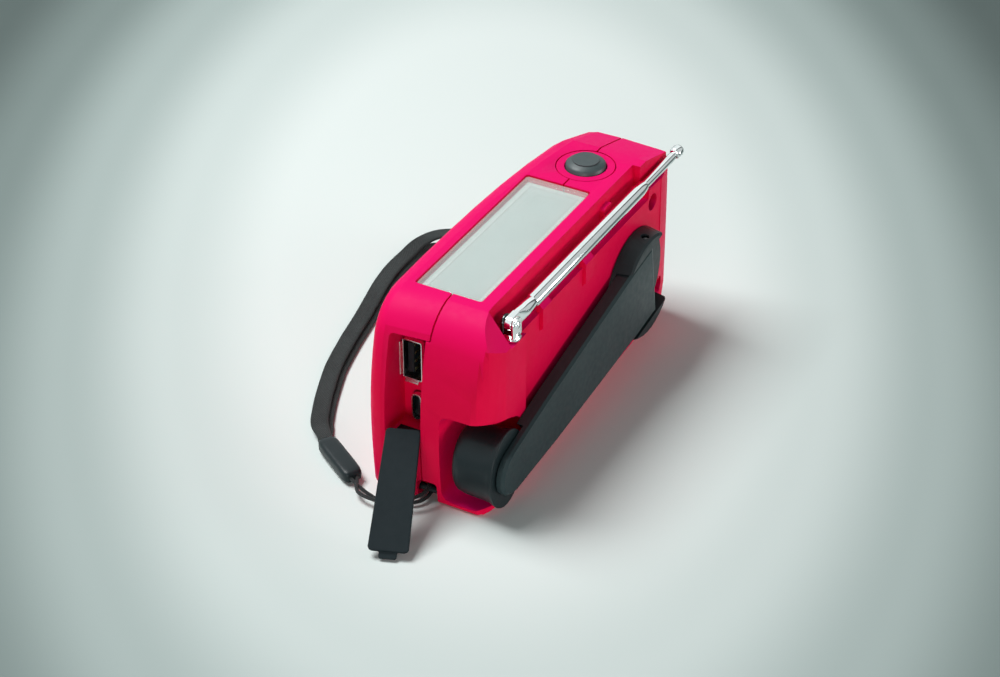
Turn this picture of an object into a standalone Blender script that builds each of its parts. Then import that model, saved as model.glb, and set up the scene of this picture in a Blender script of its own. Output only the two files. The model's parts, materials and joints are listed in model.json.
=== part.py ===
"""Portable hand cranked radio with a solar panel, a torch, a telescopic antenna and a wrist strap.

Metres, +Z up. The origin lies on the ground under the middle of the casing, in the plane where the front
and rear shells part. +X is the end with the charging sockets, -X the torch end, -Y the loudspeaker side
and +Y the side with the crank and the antenna. The crank, antenna and strap are stored away, and the flap
of the sockets hangs open.
"""
import bmesh
import bpy
from math import asin, atan2, cos, hypot, pi, radians, sin, sqrt
from mathutils import Matrix, Vector

# Casing: overall shape
BODY_HEIGHT = 0.0600
NEAR_REACH = 0.0595
FRONT_DEPTH = 0.0186
REAR_DEPTH = 0.0199
WALL = 0.0020
TOP_WALL = 0.0041
PARTING_GAP = 0.0005
PARTING_Y = 0.0004
PARTING_STEP = 0.0014
BELLY_HEIGHT = 0.0240
SHOULDER_DROP = 0.0092
SHOULDER_HEIGHT = BODY_HEIGHT - SHOULDER_DROP
SHOULDER_DRAW = 0.0035
FAR_SHOULDER_DRAW = 0.0010
FOOT_DRAW = 0.0013
FOOT_ROUND = 0.0015
TOP_RADIUS = 0.0132
FAR_BROW_DROP = 0.0038
FAR_BROW_HEIGHT = BODY_HEIGHT - FAR_BROW_DROP
FAR_BROW_ROUND = 0.0017
FRONT_ROUND = 0.0048
FRONT_ROUND_GAIN = 0.0030
FRONT_SAG_START_X = 0.0200
FRONT_SAG_FAR = 0.0040
FRONT_SAG_NEAR = 0.0011
REAR_ROUND = 0.0030
REAR_FOOT_GAIN = 0.0080
NEAR_CORNER_Y = 0.0130
NEAR_FACET_X = 0.0488
FAR_CORNER_Y = 0.0140
FAR_FACET_X = -0.0400
FAR_PLAN_DRAW = 0.0016
CORNER_POWER = 2.2
CORNER_RING_SHARES = (0.76, 0.85, 0.93)
REAR_EDGE_STEPS = 5
END_LEAN_SHARE = 0.114

# Fits
FIT = 0.0003
OVERRUN = 0.0020
MERGE_DISTANCE = 0.000001

# Solar panel
PANEL_LENGTH = 0.0637
PANEL_WIDTH = 0.0202
PANEL_NEAR_X = 0.0428
PANEL_Y = -0.0011
COVER_THICKNESS = 0.0012
CELL_THICKNESS = 0.0006

# Torch button
PANEL_BUTTON_GAP = 0.0041
BUTTON_RING_RADIUS = 0.0086
BUTTON_X = PANEL_NEAR_X - PANEL_LENGTH - PANEL_BUTTON_GAP - BUTTON_RING_RADIUS
BUTTON_Y = 0.0012
BUTTON_RADIUS = 0.00590
BUTTON_TRAVEL = 0.0010

# Far end: the top is creased beyond the button, and slopes to a brow
CREASE_GAP = 0.0028
BROW_LENGTH = 0.0138
BROW_OVERHANG = 0.0017
CREASE_X = BUTTON_X - BUTTON_RING_RADIUS - CREASE_GAP
FAR_BROW_X = CREASE_X - BROW_LENGTH
FAR_REACH = BROW_OVERHANG - FAR_BROW_X

# Port recess in the near end
PORT_LOW = 0.0198
PORT_TOP_MARGIN = 0.0082
PORT_HIGH = BODY_HEIGHT - PORT_TOP_MARGIN
PORT_FRONT_Y = -0.0114
PORT_FLOOR_X = 0.0495

# Sockets
USB_A_WIDTH = 0.0129
USB_A_THICKNESS = 0.0062
USB_A_HEIGHT = 0.0403
USB_C_WIDTH = 0.0089
USB_C_THICKNESS = 0.0032
USB_C_HEIGHT = 0.0249
SOCKET_RIM_X = 0.0513

# Crank
HUB_X = -0.0302
HUB_HEIGHT = 0.0274
HUB_RADIUS = 0.0170
HUB_EAR_RADIUS = 0.0163
HANDLE_X = 0.0516
HANDLE_HEIGHT = 0.0144
HANDLE_RADIUS = 0.0116
HANDLE_FLAT_SHARE = 0.78
PANEL_RECESS_Y = 0.0184
ARM_THICKNESS = 0.0042
ARM_HALF_WIDTH = 0.0122
ARM_PIN_SET_BACK = 0.0030
ARM_TIP_THICKNESS = 0.0022
ARM_BARREL_RADIUS = 0.0020

# Gears
GEAR_MODULE = 0.0009
DRIVE_TEETH = 30
MIDDLE_PINION_TEETH = 10
MIDDLE_TEETH = 28
ROTOR_TEETH = 9
MIDDLE_BEARING_ANGLE = radians(20.0)
ROTOR_BEARING_ANGLE = radians(-35.0)

# Antenna
ANTENNA_X = 0.0414
ANTENNA_Y = 0.0173
ANTENNA_DROP = 0.0051
ANTENNA_HEIGHT = BODY_HEIGHT - ANTENNA_DROP
ANTENNA_TUBE_RADIUS = 0.00205
ANTENNA_MIDDLE_RADIUS = 0.00135
ANTENNA_ROD_RADIUS = 0.00065
ANTENNA_TUBE_END_X = -0.0392
ANTENNA_MIDDLE_END_X = -0.0592
CHANNEL_DROP = 0.0100
CHANNEL_FLOOR = BODY_HEIGHT - CHANNEL_DROP
CHANNEL_WALL_Y = 0.0137
CHANNEL_EDGE_Y = 0.0129

# Front controls
SPEAKER_X = -0.0250
SPEAKER_HEIGHT = 0.0300
SPEAKER_RADIUS = 0.0180
TUNING_X = 0.0240
TUNING_HEIGHT = 0.0350
VOLUME_X = 0.0080
VOLUME_HEIGHT = 0.0115

# Circuit board
BOARD_REAR_Y = -0.01125
BOARD_THICKNESS = 0.0015

# Strap
CORD_DIAMETER = 0.0011
WEBBING_WIDTH = 0.0052
WEBBING_THICKNESS = 0.0009

# Case screws: two at the far end, one at the near end
TOP_SCREW_X = -0.0433
TOP_SCREW_HEIGHT = 0.0476
FOOT_SCREW_X = -0.0499
FOOT_SCREW_HEIGHT = 0.0149
NEAR_SCREW_X = 0.0330
NEAR_SCREW_HEIGHT = 0.0130
SCREW_PLACES = (
    (TOP_SCREW_X, TOP_SCREW_HEIGHT), (FOOT_SCREW_X, FOOT_SCREW_HEIGHT), (NEAR_SCREW_X, NEAR_SCREW_HEIGHT),
)

ROUND_STEPS = 24
SMALL_STEPS = 12
RIBS = 7
RIB_TOP_OFFSET = 12


def clear_scene():
    for item in list(bpy.data.objects):
        bpy.data.objects.remove(item, do_unlink=True)


def material(name, colour, roughness, metallic=0.0, alpha=1.0):
    look = bpy.data.materials.new(name)
    look.use_nodes = True
    shader = look.node_tree.nodes["Principled BSDF"]
    shader.inputs["Base Color"].default_value = (*colour, 1.0)
    shader.inputs["Roughness"].default_value = roughness
    shader.inputs["Metallic"].default_value = metallic
    shader.inputs["Alpha"].default_value = alpha
    look.diffuse_color = (*colour, alpha)
    return look


def circle(a, b, radius, steps=ROUND_STEPS):
    return [(a + radius * cos(2 * pi * k / steps),
             b + radius * sin(2 * pi * k / steps)) for k in range(steps)]


def rounded(a_low, a_high, b_low, b_high, radius, steps=3):
    """A rectangle with rounded corners, counter-clockwise."""
    corners = (
        (a_high - radius, b_low + radius, -pi / 2),
        (a_high - radius, b_high - radius, 0.0),
        (a_low + radius, b_high - radius, pi / 2),
        (a_low + radius, b_low + radius, pi),
    )
    points = []
    for a, b, start in corners:
        for k in range(steps + 1):
            angle = start + pi / 2 * k / steps
            points.append((a + radius * cos(angle), b + radius * sin(angle)))
    return points


def rectangle(a_low, a_high, b_low, b_high):
    return [(a_low, b_low), (a_high, b_low), (a_high, b_high), (a_low, b_high)]


def stand(outline, axis, depth):
    """Put a flat outline into space, square to an axis."""
    if axis == "X":
        return [Vector((depth, a, b)) for a, b in outline]
    if axis == "Y":
        return [Vector((a, depth, b)) for a, b in outline]
    return [Vector((a, b, depth)) for a, b in outline]


def skin(rings, loop=False, ribs=0):
    """Bridge rings of equal point counts into a closed solid; a loop of rings needs no end caps.

    With ribs, the last ring ends in that many points along its low side, and its cap is laid in strips
    from them to the points above, so that a bowed cap keeps its curve.
    """
    mesh = bmesh.new()
    rows = [[mesh.verts.new(point) for point in ring] for ring in rings]
    count = len(rows[0])
    pairs = list(zip(rows, rows[1:]))
    if loop:
        pairs.append((rows[-1], rows[0]))
    for low, high in pairs:
        for k in range(count):
            n = (k + 1) % count
            mesh.faces.new((low[k], low[n], high[n], high[k]))
    if not loop:
        mesh.faces.new(rows[0])
    if ribs:
        cap = rows[-1]
        top = count - ribs - RIB_TOP_OFFSET
        mesh.faces.new([cap[-1], *cap[:top - ribs + 2]])
        for k in range(ribs - 1):
            mesh.faces.new((cap[top - ribs + 1 + k], cap[top - ribs + 2 + k], cap[-2 - k], cap[-1 - k]))
        mesh.faces.new(cap[top:count - ribs + 1])
    elif not loop:
        mesh.faces.new(rows[-1])
    bmesh.ops.remove_doubles(mesh, verts=mesh.verts, dist=MERGE_DISTANCE)
    mesh.normal_update()
    bmesh.ops.recalc_face_normals(mesh, faces=mesh.faces)
    return mesh


def faceted(mesh):
    """Split every face that may be warped into triangles."""
    bmesh.ops.triangulate(mesh, faces=mesh.faces[:])
    return mesh


def prism(outline, axis, low, high):
    return skin([stand(outline, axis, low), stand(outline, axis, high)])


def turned(profile, axis, a, b, steps=ROUND_STEPS):
    """Turn (radius, along) points about a line parallel to an axis; zero radius closes an end."""
    mesh = bmesh.new()
    rows = []
    for radius, along in profile:
        if radius == 0:
            rows.append([mesh.verts.new(stand([(a, b)], axis, along)[0])])
        else:
            rows.append([mesh.verts.new(point) for point in stand(circle(a, b, radius, steps), axis, along)])
    closed = len(rows[0]) > 1
    pairs = list(zip(rows, rows[1:]))
    if closed:
        pairs.append((rows[-1], rows[0]))
    for low, high in pairs:
        for k in range(steps):
            n = (k + 1) % steps
            if len(low) == 1:
                mesh.faces.new((low[0], high[n], high[k]))
            elif len(high) == 1:
                mesh.faces.new((low[k], low[n], high[0]))
            else:
                mesh.faces.new((low[k], low[n], high[n], high[k]))
    bmesh.ops.recalc_face_normals(mesh, faces=mesh.faces)
    return mesh


def drum(axis, a, b, radius, low, high, steps=ROUND_STEPS):
    return prism(circle(a, b, radius, steps), axis, low, high)


def solid(name, mesh, look, place=None, origin=None, smooth_degrees=35.0):
    if place is not None:
        mesh.transform(place)
    origin = Vector(origin) if origin is not None else Vector((0.0, 0.0, 0.0))
    mesh.transform(Matrix.Translation(-origin))
    mesh.normal_update()
    bmesh.ops.recalc_face_normals(mesh, faces=mesh.faces)
    data = bpy.data.meshes.new(name)
    mesh.to_mesh(data)
    mesh.free()
    data.materials.append(look)
    data.shade_smooth()
    data.set_sharp_from_angle(angle=radians(smooth_degrees))
    item = bpy.data.objects.new(name, data)
    item.location = origin
    bpy.context.scene.collection.objects.link(item)
    return item


def guide(mesh, place=None):
    if place is not None:
        mesh.transform(place)
    mesh.normal_update()
    bmesh.ops.recalc_face_normals(mesh, faces=mesh.faces)
    data = bpy.data.meshes.new("guide")
    mesh.to_mesh(data)
    mesh.free()
    return bpy.data.objects.new("guide", data)


def combine(item, operation, guides):
    """Join guides to a piece, or cut them out of it."""
    group = bpy.data.collections.new(item.name + "_" + operation.lower())
    bpy.context.scene.collection.children.link(group)
    for shape in guides:
        shape.name = group.name
        shape.hide_render = True
        shape.display_type = "WIRE"
        group.objects.link(shape)
    change = item.modifiers.new(operation.lower(), "BOOLEAN")
    change.operation = operation
    change.operand_type = "COLLECTION"
    change.collection = group
    change.solver = "EXACT"


def fuse(item, *guides):
    combine(item, "UNION", guides)


def cut(item, *guides):
    combine(item, "DIFFERENCE", guides)


clear_scene()

CASING_PINK = material("casing_pink", (0.80, 0.008, 0.075), 0.42)
BLACK_PLASTIC = material("black_plastic", (0.020, 0.022, 0.024), 0.45)
CRANK_GREY = material("crank_grey", (0.050, 0.060, 0.064), 0.38)
BUTTON_RUBBER = material("button_rubber", (0.028, 0.032, 0.034), 0.70)
FLAP_RUBBER = material("flap_rubber", (0.022, 0.025, 0.027), 0.65)
CLEAR_COVER = material("clear_cover", (0.85, 0.90, 0.88), 0.12, 0.0, 0.35)
CELL_SILVER = material("cell_silver", (0.50, 0.54, 0.53), 0.35)
CHROME = material("antenna_chrome", (0.80, 0.81, 0.82), 0.12, 1.0)
SOCKET_STEEL = material("socket_steel", (0.62, 0.63, 0.64), 0.25, 1.0)
PLAIN_STEEL = material("plain_steel", (0.45, 0.46, 0.47), 0.35, 1.0)
GEAR_NYLON = material("gear_nylon", (0.75, 0.74, 0.68), 0.55)
BOARD_GREEN = material("board_green", (0.020, 0.180, 0.070), 0.45)
BATTERY_WRAP = material("battery_wrap", (0.040, 0.140, 0.420), 0.40)
CONE_PAPER = material("cone_paper", (0.030, 0.030, 0.032), 0.85)
LED_WHITE = material("led_white", (0.90, 0.92, 0.90), 0.20)
LED_RED = material("led_red", (0.70, 0.03, 0.02), 0.25)
REFLECTOR_CHROME = material("reflector_chrome", (0.82, 0.83, 0.84), 0.08, 1.0)
DIAL_GREY = material("dial_grey", (0.32, 0.33, 0.34), 0.45)
STRAP_FABRIC = material("strap_fabric", (0.018, 0.019, 0.020), 0.90)


# Casing shells: one outline of the side view, drawn in at the ends of the depth, and cut back in plan
def end_draw(height, shoulder_draw):
    if height > BELLY_HEIGHT:
        return shoulder_draw * ((height - BELLY_HEIGHT) / (SHOULDER_HEIGHT - BELLY_HEIGHT)) ** 2
    return FOOT_DRAW * ((BELLY_HEIGHT - height) / BELLY_HEIGHT) ** 2


def side_outline():
    """The casing seen square from the side, from the near foot round to the far foot."""
    points = []
    near_foot = NEAR_REACH - end_draw(FOOT_ROUND, SHOULDER_DRAW)
    far_foot = FAR_REACH - end_draw(FOOT_ROUND, FAR_SHOULDER_DRAW)
    for k in range(3):
        angle = pi / 6 * k
        points.append((near_foot - FOOT_ROUND * (1 - sin(angle)), FOOT_ROUND * (1 - cos(angle))))
    for k in range(8):
        height = FOOT_ROUND + (SHOULDER_HEIGHT - FOOT_ROUND) * k / 8
        points.append((NEAR_REACH - end_draw(height, SHOULDER_DRAW), height))
    arc_height = BODY_HEIGHT - TOP_RADIUS
    arc_start = asin((SHOULDER_HEIGHT - arc_height) / TOP_RADIUS)
    arc_x = NEAR_REACH - SHOULDER_DRAW - TOP_RADIUS * cos(arc_start)
    for k in range(7):
        angle = arc_start + (pi / 2 - arc_start) * k / 6
        points.append((arc_x + TOP_RADIUS * cos(angle), arc_height + TOP_RADIUS * sin(angle)))
    ribs = [arc_x + (CREASE_X - arc_x) * k / (RIBS - 1) for k in range(RIBS)]
    points += [(x, BODY_HEIGHT) for x in ribs[1:]]
    points.append((FAR_BROW_X, FAR_BROW_HEIGHT))
    brow_foot = FAR_BROW_HEIGHT - FAR_BROW_ROUND
    for k in range(7):
        height = brow_foot - (brow_foot - FOOT_ROUND) * k / 6
        points.append((-FAR_REACH + end_draw(height, FAR_SHOULDER_DRAW), height))
    for k in range(2, -1, -1):
        angle = pi / 6 * k
        points.append((-far_foot + FOOT_ROUND * (1 - sin(angle)), FOOT_ROUND * (1 - cos(angle))))
    points += [(x, 0.0) for x in reversed(ribs)]
    return points


def casing_ring(depth, inset=None, depth_shift=None, near_limit=NEAR_REACH * 2, far_limit=-FAR_REACH * 2,
                high_limit=BODY_HEIGHT):
    """The outline at one depth; inset and depth_shift are functions of x and height."""
    middle_x = (NEAR_REACH - FAR_REACH) / 2
    middle_height = BODY_HEIGHT / 2
    ring = []
    for x, height in side_outline():
        shrink = inset(x, height) if inset else 0.0
        y = depth + (depth_shift(x, height) if depth_shift else 0.0)
        new_x = middle_x + (x - middle_x) * (1 - shrink / ((NEAR_REACH + FAR_REACH) / 2))
        new_height = middle_height + (height - middle_height) * (1 - shrink / middle_height)
        if new_x > 0 and y < 0:
            new_x *= 1 - END_LEAN_SHARE * y / NEAR_REACH
        if new_x < 0:
            new_x *= 1 - FAR_PLAN_DRAW / FAR_REACH * (y / REAR_DEPTH) ** 2
        near_share = max(0.0, (y - NEAR_CORNER_Y) / (REAR_DEPTH - NEAR_CORNER_Y))
        near_corner = NEAR_REACH - (NEAR_REACH - NEAR_FACET_X) * near_share ** CORNER_POWER
        far_share = max(0.0, (y - FAR_CORNER_Y) / (REAR_DEPTH - FAR_CORNER_Y))
        far_corner = (FAR_REACH + FAR_FACET_X) * far_share ** CORNER_POWER - FAR_REACH
        if y > NEAR_CORNER_Y:
            new_x = min(new_x, near_corner)
        if y > FAR_CORNER_Y:
            new_x = max(new_x, far_corner)
        new_x = min(max(new_x, far_limit), near_limit)
        ring.append(Vector((new_x, y, min(new_height, high_limit))))
    return ring


def front_round(x, height):
    """Radius of the front edge, larger towards the far end of the top."""
    share = min(max((FRONT_SAG_START_X - x) / (FRONT_SAG_START_X - CREASE_X), 0.0), 1.0)
    rise = max(0.0, height / BODY_HEIGHT * 2 - 1)
    return FRONT_ROUND + FRONT_ROUND_GAIN * share ** 2 * rise


def front_sag(x):
    """The front face falls back towards both ends."""
    if x < FRONT_SAG_START_X:
        return FRONT_SAG_FAR * ((FRONT_SAG_START_X - x) / (FRONT_SAG_START_X + FAR_REACH)) ** 3
    return FRONT_SAG_NEAR * ((x - FRONT_SAG_START_X) / (NEAR_REACH - FRONT_SAG_START_X)) ** 2


def front_ring(angle, wall=0.0, **limits):
    """One ring of the front edge; the same edge drawn in by a wall bounds the hollow."""
    return casing_ring(
        wall - FRONT_DEPTH,
        inset=lambda x, height: wall + (front_round(x, height) - wall) * (1 - sin(angle)),
        depth_shift=lambda x, height: front_sag(x) + (front_round(x, height) - wall) * (1 - cos(angle)),
        **limits,
    )


def rear_round(x, height):
    """Radius of the rear edge, larger towards the far end of the foot."""
    share = min(max((NEAR_FACET_X - x) / (NEAR_FACET_X + FAR_REACH), 0.0), 1.0)
    fall = max(0.0, 1 - height / BODY_HEIGHT * 2)
    return REAR_ROUND + REAR_FOOT_GAIN * share * fall


def rear_ring(angle):
    return casing_ring(
        REAR_DEPTH,
        inset=lambda x, height: rear_round(x, height) * (1 - cos(angle)),
        depth_shift=lambda x, height: -rear_round(x, height) * (1 - sin(angle)),
    )


FRONT_LIMIT_Y = PARTING_Y - PARTING_GAP / 2
REAR_LIMIT_Y = PARTING_Y + PARTING_GAP / 2
front_rings = [casing_ring(FRONT_LIMIT_Y)]
for k in range(5):
    front_rings.append(front_ring(pi / 2 * (1 - k / 4)))
front_shell = solid("front_shell", faceted(skin(front_rings, ribs=RIBS)), CASING_PINK)

rear_rings = [casing_ring(REAR_LIMIT_Y - PARTING_STEP), casing_ring(REAR_LIMIT_Y)]
for ring_share in CORNER_RING_SHARES:
    rear_rings.append(casing_ring(
        REAR_LIMIT_Y,
        depth_shift=lambda x, height, ring_share=ring_share:
            (REAR_DEPTH - rear_round(x, height) - REAR_LIMIT_Y) * ring_share))
for k in range(REAR_EDGE_STEPS + 1):
    rear_rings.append(rear_ring(pi / 2 * k / REAR_EDGE_STEPS))
rear_shell = solid("rear_shell", faceted(skin(rear_rings)), CASING_PINK)

CAVITY_TOP = BODY_HEIGHT - TOP_WALL
PORT_WALL_X = PORT_FLOOR_X - WALL
FAR_CAVITY_X = -0.0540
INNER_CHAMFER = 0.0030
REAR_PANEL_INNER_Y = PANEL_RECESS_Y - WALL
FRONT_INNER_Y = -FRONT_DEPTH + WALL


def cavity(depths_and_insets, near_limit, far_limit, high_limit):
    rings = []
    for depth, inset in depths_and_insets:
        rings.append(casing_ring(depth, inset=lambda x, height, inset=inset: inset, near_limit=near_limit,
                                 far_limit=far_limit, high_limit=high_limit))
    return guide(faceted(skin(rings)))


front_limits = {"near_limit": PORT_WALL_X, "far_limit": FAR_CAVITY_X, "high_limit": CAVITY_TOP}
front_cavity_rings = [casing_ring(OVERRUN, inset=lambda x, height: WALL, **front_limits)]
for k in range(3):
    front_cavity_rings.append(front_ring(pi / 4 * (2 - k), WALL, **front_limits))
front_cavity = guide(faceted(skin(front_cavity_rings, ribs=RIBS)))

# Step of the parting line: under the top of the port recess the rear shell reaches forward
OUTSIDE_Y = REAR_DEPTH + OVERRUN
OUTSIDE_TOP = BODY_HEIGHT + OVERRUN
OUTSIDE_NEAR_X = NEAR_REACH + OVERRUN
OUTSIDE_FAR_X = -FAR_REACH - OVERRUN
front_step = guide(prism(
    rectangle(PORT_FLOOR_X, OUTSIDE_NEAR_X, -OVERRUN, PORT_HIGH), "Y",
    REAR_LIMIT_Y - PARTING_STEP - PARTING_GAP, OVERRUN))
rear_step = guide(prism(
    [(OUTSIDE_FAR_X, -OVERRUN), (PORT_FLOOR_X + FIT, -OVERRUN), (PORT_FLOOR_X + FIT, PORT_HIGH - FIT),
     (OUTSIDE_NEAR_X, PORT_HIGH - FIT), (OUTSIDE_NEAR_X, OUTSIDE_TOP), (OUTSIDE_FAR_X, OUTSIDE_TOP)], "Y",
    REAR_LIMIT_Y - PARTING_STEP - OVERRUN, REAR_LIMIT_Y))

# Knob pocket in the near corner of the back, and the room for the knob's flange over the panel
POCKET_Y = 0.0049
POCKET_X = 0.0394
POCKET_BROW_X = 0.0430
POCKET_BROW_HEIGHT = 0.0262
POCKET_SIDE_HEIGHT = 0.0230
POCKET_NEAR_HEIGHT = 0.0348
POCKET_FOOT_RADIUS = 0.0112
POCKET_INNER_INSET = 0.0040
POCKET_INNER_DEPTH = 0.0036
POCKET_INSET_SHARES = ((0.0, 1.0), (0.14, 0.50), (0.50, 0.13), (1.0, 0.0))
SILL = 0.0019
FLANGE_ROOM_RADIUS = 0.0125
FLANGE_RISE = 0.0020
REAR_SOLID_X = POCKET_X - WALL
rear_cavity = cavity(
    ((-OVERRUN, WALL), (CHANNEL_WALL_Y - WALL, WALL)), REAR_SOLID_X, FAR_CAVITY_X, CAVITY_TOP,
)
rear_deep_cavity = cavity(
    ((-OVERRUN, WALL), (REAR_PANEL_INNER_Y - INNER_CHAMFER, WALL),
     (REAR_PANEL_INNER_Y, WALL + INNER_CHAMFER / 2)),
    REAR_SOLID_X, FAR_CAVITY_X + INNER_CHAMFER, CHANNEL_FLOOR - WALL,
)
pocket_outline = [(NEAR_REACH + POCKET_FOOT_RADIUS, SILL)]
for k in range(6):
    angle = pi / 2 * k / 5
    pocket_outline.append((POCKET_X + POCKET_FOOT_RADIUS * (1 - sin(angle)),
                           SILL + POCKET_FOOT_RADIUS * (1 - cos(angle))))
pocket_outline += [(POCKET_X, POCKET_SIDE_HEIGHT), (POCKET_BROW_X, POCKET_BROW_HEIGHT),
                   (NEAR_REACH + POCKET_FOOT_RADIUS, POCKET_NEAR_HEIGHT)]
pocket_rings = []
for depth_share, inset_share in POCKET_INSET_SHARES:
    ring = []
    for x, height in pocket_outline:
        away = Vector((x - HANDLE_X, height - HANDLE_HEIGHT))
        away *= 1 - POCKET_INNER_INSET * inset_share / away.length
        ring.append(Vector((HANDLE_X + away.x, POCKET_Y + POCKET_INNER_DEPTH * depth_share,
                            HANDLE_HEIGHT + away.y)))
    pocket_rings.append(ring)
pocket_rings.append([Vector((x, OUTSIDE_Y, height)) for x, height in pocket_outline])
knob_pocket = guide(faceted(skin(pocket_rings)))
flange_room = guide(prism(
    rounded(HANDLE_X - FLANGE_ROOM_RADIUS, OUTSIDE_NEAR_X + FLANGE_ROOM_RADIUS,
            HANDLE_HEIGHT - FLANGE_ROOM_RADIUS,
            HANDLE_HEIGHT + FLANGE_ROOM_RADIUS + FLANGE_RISE, FLANGE_ROOM_RADIUS, 6), "Y",
    PANEL_RECESS_Y, OUTSIDE_Y))

# Recessed back panel behind the crank, and the antenna channel above it
RECESS_NEAR_X = 0.0375
RECESS_FAR_X = -0.0487
RECESS_LOW = 0.0045
RECESS_ROUND = 0.0040
CHANNEL_NEAR_X = 0.0460
CHANNEL_FAR_X = -0.0405
SHELF_NEAR_X = 0.0330
SHELF_EDGE_HEIGHT = 0.0506
NOTCH_FLOOR = ANTENNA_HEIGHT - ANTENNA_MIDDLE_RADIUS - FIT - FIT
NOTCH_WALL_Y = ANTENNA_Y - ANTENNA_MIDDLE_RADIUS - FIT - FIT
back_recess = guide(prism(
    rounded(RECESS_FAR_X, RECESS_NEAR_X, RECESS_LOW, CHANNEL_FLOOR + RECESS_ROUND + OVERRUN, RECESS_ROUND),
    "Y",
    PANEL_RECESS_Y, REAR_DEPTH + OVERRUN,
))
CHANNEL_FILLET = 0.0007
channel = guide(prism(
    [(CHANNEL_WALL_Y + CHANNEL_FILLET, CHANNEL_FLOOR), (OUTSIDE_Y, CHANNEL_FLOOR), (OUTSIDE_Y, OUTSIDE_TOP),
     (CHANNEL_EDGE_Y, OUTSIDE_TOP), (CHANNEL_EDGE_Y, BODY_HEIGHT),
     (CHANNEL_WALL_Y, CHANNEL_FLOOR + CHANNEL_FILLET)],
    "X", CHANNEL_FAR_X, CHANNEL_NEAR_X,
))
antenna_notch = guide(prism(
    [(NOTCH_WALL_Y, NOTCH_FLOOR), (OUTSIDE_Y, NOTCH_FLOOR), (OUTSIDE_Y, OUTSIDE_TOP),
     (NOTCH_WALL_Y, OUTSIDE_TOP)],
    "X", -FAR_REACH - OVERRUN, CHANNEL_FAR_X + OVERRUN,
))
near_shelf = guide(prism(
    [(CHANNEL_EDGE_Y, BODY_HEIGHT), (REAR_DEPTH, SHELF_EDGE_HEIGHT), (OUTSIDE_Y, SHELF_EDGE_HEIGHT),
     (OUTSIDE_Y, OUTSIDE_TOP), (CHANNEL_EDGE_Y, OUTSIDE_TOP)],
    "X", SHELF_NEAR_X, NEAR_REACH + OVERRUN,
))
ANTENNA_STEM_RADIUS = 0.0016
ANTENNA_STEM_LENGTH = 0.0060
antenna_socket = guide(drum(
    "Z", ANTENNA_X, ANTENNA_Y, ANTENNA_STEM_RADIUS + FIT, CHANNEL_FLOOR - ANTENNA_STEM_LENGTH - FIT,
    CHANNEL_FLOOR + OVERRUN, SMALL_STEPS,
))

# Rests under the folded antenna on the back panel, and a nub on the channel's wall
FAR_REST_X = -0.0010
NEAR_REST_X = 0.0245
REST_HALF_LENGTH = 0.0025
REST_LOW = 0.0440
REST_OUT_Y = 0.0195
REST_TOP = ANTENNA_HEIGHT - ANTENNA_TUBE_RADIUS - FIT
REST_ROUND = 0.0012
NUB_X = -0.0215
NUB_HALF_LENGTH = 0.0025
NUB_HALF_HEIGHT = 0.0022
rest_root = PANEL_RECESS_Y - WALL / 2
rests = []
for rest_x in (FAR_REST_X, NEAR_REST_X):
    rests.append(guide(prism(
        [(rest_root, REST_LOW), (PANEL_RECESS_Y, REST_LOW), (REST_OUT_Y, REST_LOW + REST_ROUND),
         (REST_OUT_Y, REST_TOP - REST_ROUND), (REST_OUT_Y - REST_ROUND, REST_TOP), (rest_root, REST_TOP)],
        "X", rest_x - REST_HALF_LENGTH, rest_x + REST_HALF_LENGTH,
    )))
nub = guide(prism(
    rounded(NUB_X - NUB_HALF_LENGTH, NUB_X + NUB_HALF_LENGTH, ANTENNA_HEIGHT - NUB_HALF_HEIGHT,
            ANTENNA_HEIGHT + NUB_HALF_HEIGHT, NUB_HALF_HEIGHT / 2), "Y",
    CHANNEL_WALL_Y - WALL / 2, ANTENNA_Y - ANTENNA_TUBE_RADIUS - FIT - FIT,
))

# Top: pocket of the solar panel, seat of the button and its ring
PANEL_FAR_X = PANEL_NEAR_X - PANEL_LENGTH
COVER_TOP = BODY_HEIGHT - FIT
COVER_LOW = COVER_TOP - COVER_THICKNESS
CELL_TOP = COVER_LOW - FIT
CELL_LOW = CELL_TOP - CELL_THICKNESS
PANEL_POCKET_LOW = CELL_LOW - FIT
PANEL_HALF = PANEL_WIDTH / 2
BUTTON_HOLE_RADIUS = BUTTON_RADIUS + FIT
RING_SEAT_RADIUS = BUTTON_RING_RADIUS + FIT
RING_DEPTH = 0.0022
WIRE_HOLE_RADIUS = 0.0015
WIRE_HOLE_X = PANEL_FAR_X + PANEL_HALF
PANEL_CORNER = 0.0008
WIRE_HOLE_Y = PANEL_Y - PANEL_HALF / 2


def top_cutters():
    pocket = guide(prism(
        rounded(PANEL_FAR_X - FIT, PANEL_NEAR_X + FIT, PANEL_Y - PANEL_HALF - FIT, PANEL_Y + PANEL_HALF + FIT,
                PANEL_CORNER, 2), "Z", PANEL_POCKET_LOW, OUTSIDE_TOP))
    seat = guide(drum("Z", BUTTON_X, BUTTON_Y, RING_SEAT_RADIUS, BODY_HEIGHT - RING_DEPTH - FIT,
                      OUTSIDE_TOP, 32))
    hole = guide(drum("Z", BUTTON_X, BUTTON_Y, BUTTON_HOLE_RADIUS, CAVITY_TOP - OVERRUN, OUTSIDE_TOP))
    return [pocket, seat, hole]


wire_hole = guide(drum("Z", WIRE_HOLE_X, WIRE_HOLE_Y, WIRE_HOLE_RADIUS, CAVITY_TOP - OVERRUN, OUTSIDE_TOP, 8))

# Far end: opening of the torch
TORCH_HEIGHT = 0.0300
TORCH_HALF_WIDTH = 0.0110
TORCH_HALF_HEIGHT = 0.0110
TORCH_CORNER = 0.0040
LENS_SEAT_X = -0.0575
LENS_LEDGE = 0.0015
LENS_THICKNESS = 0.0018


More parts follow.
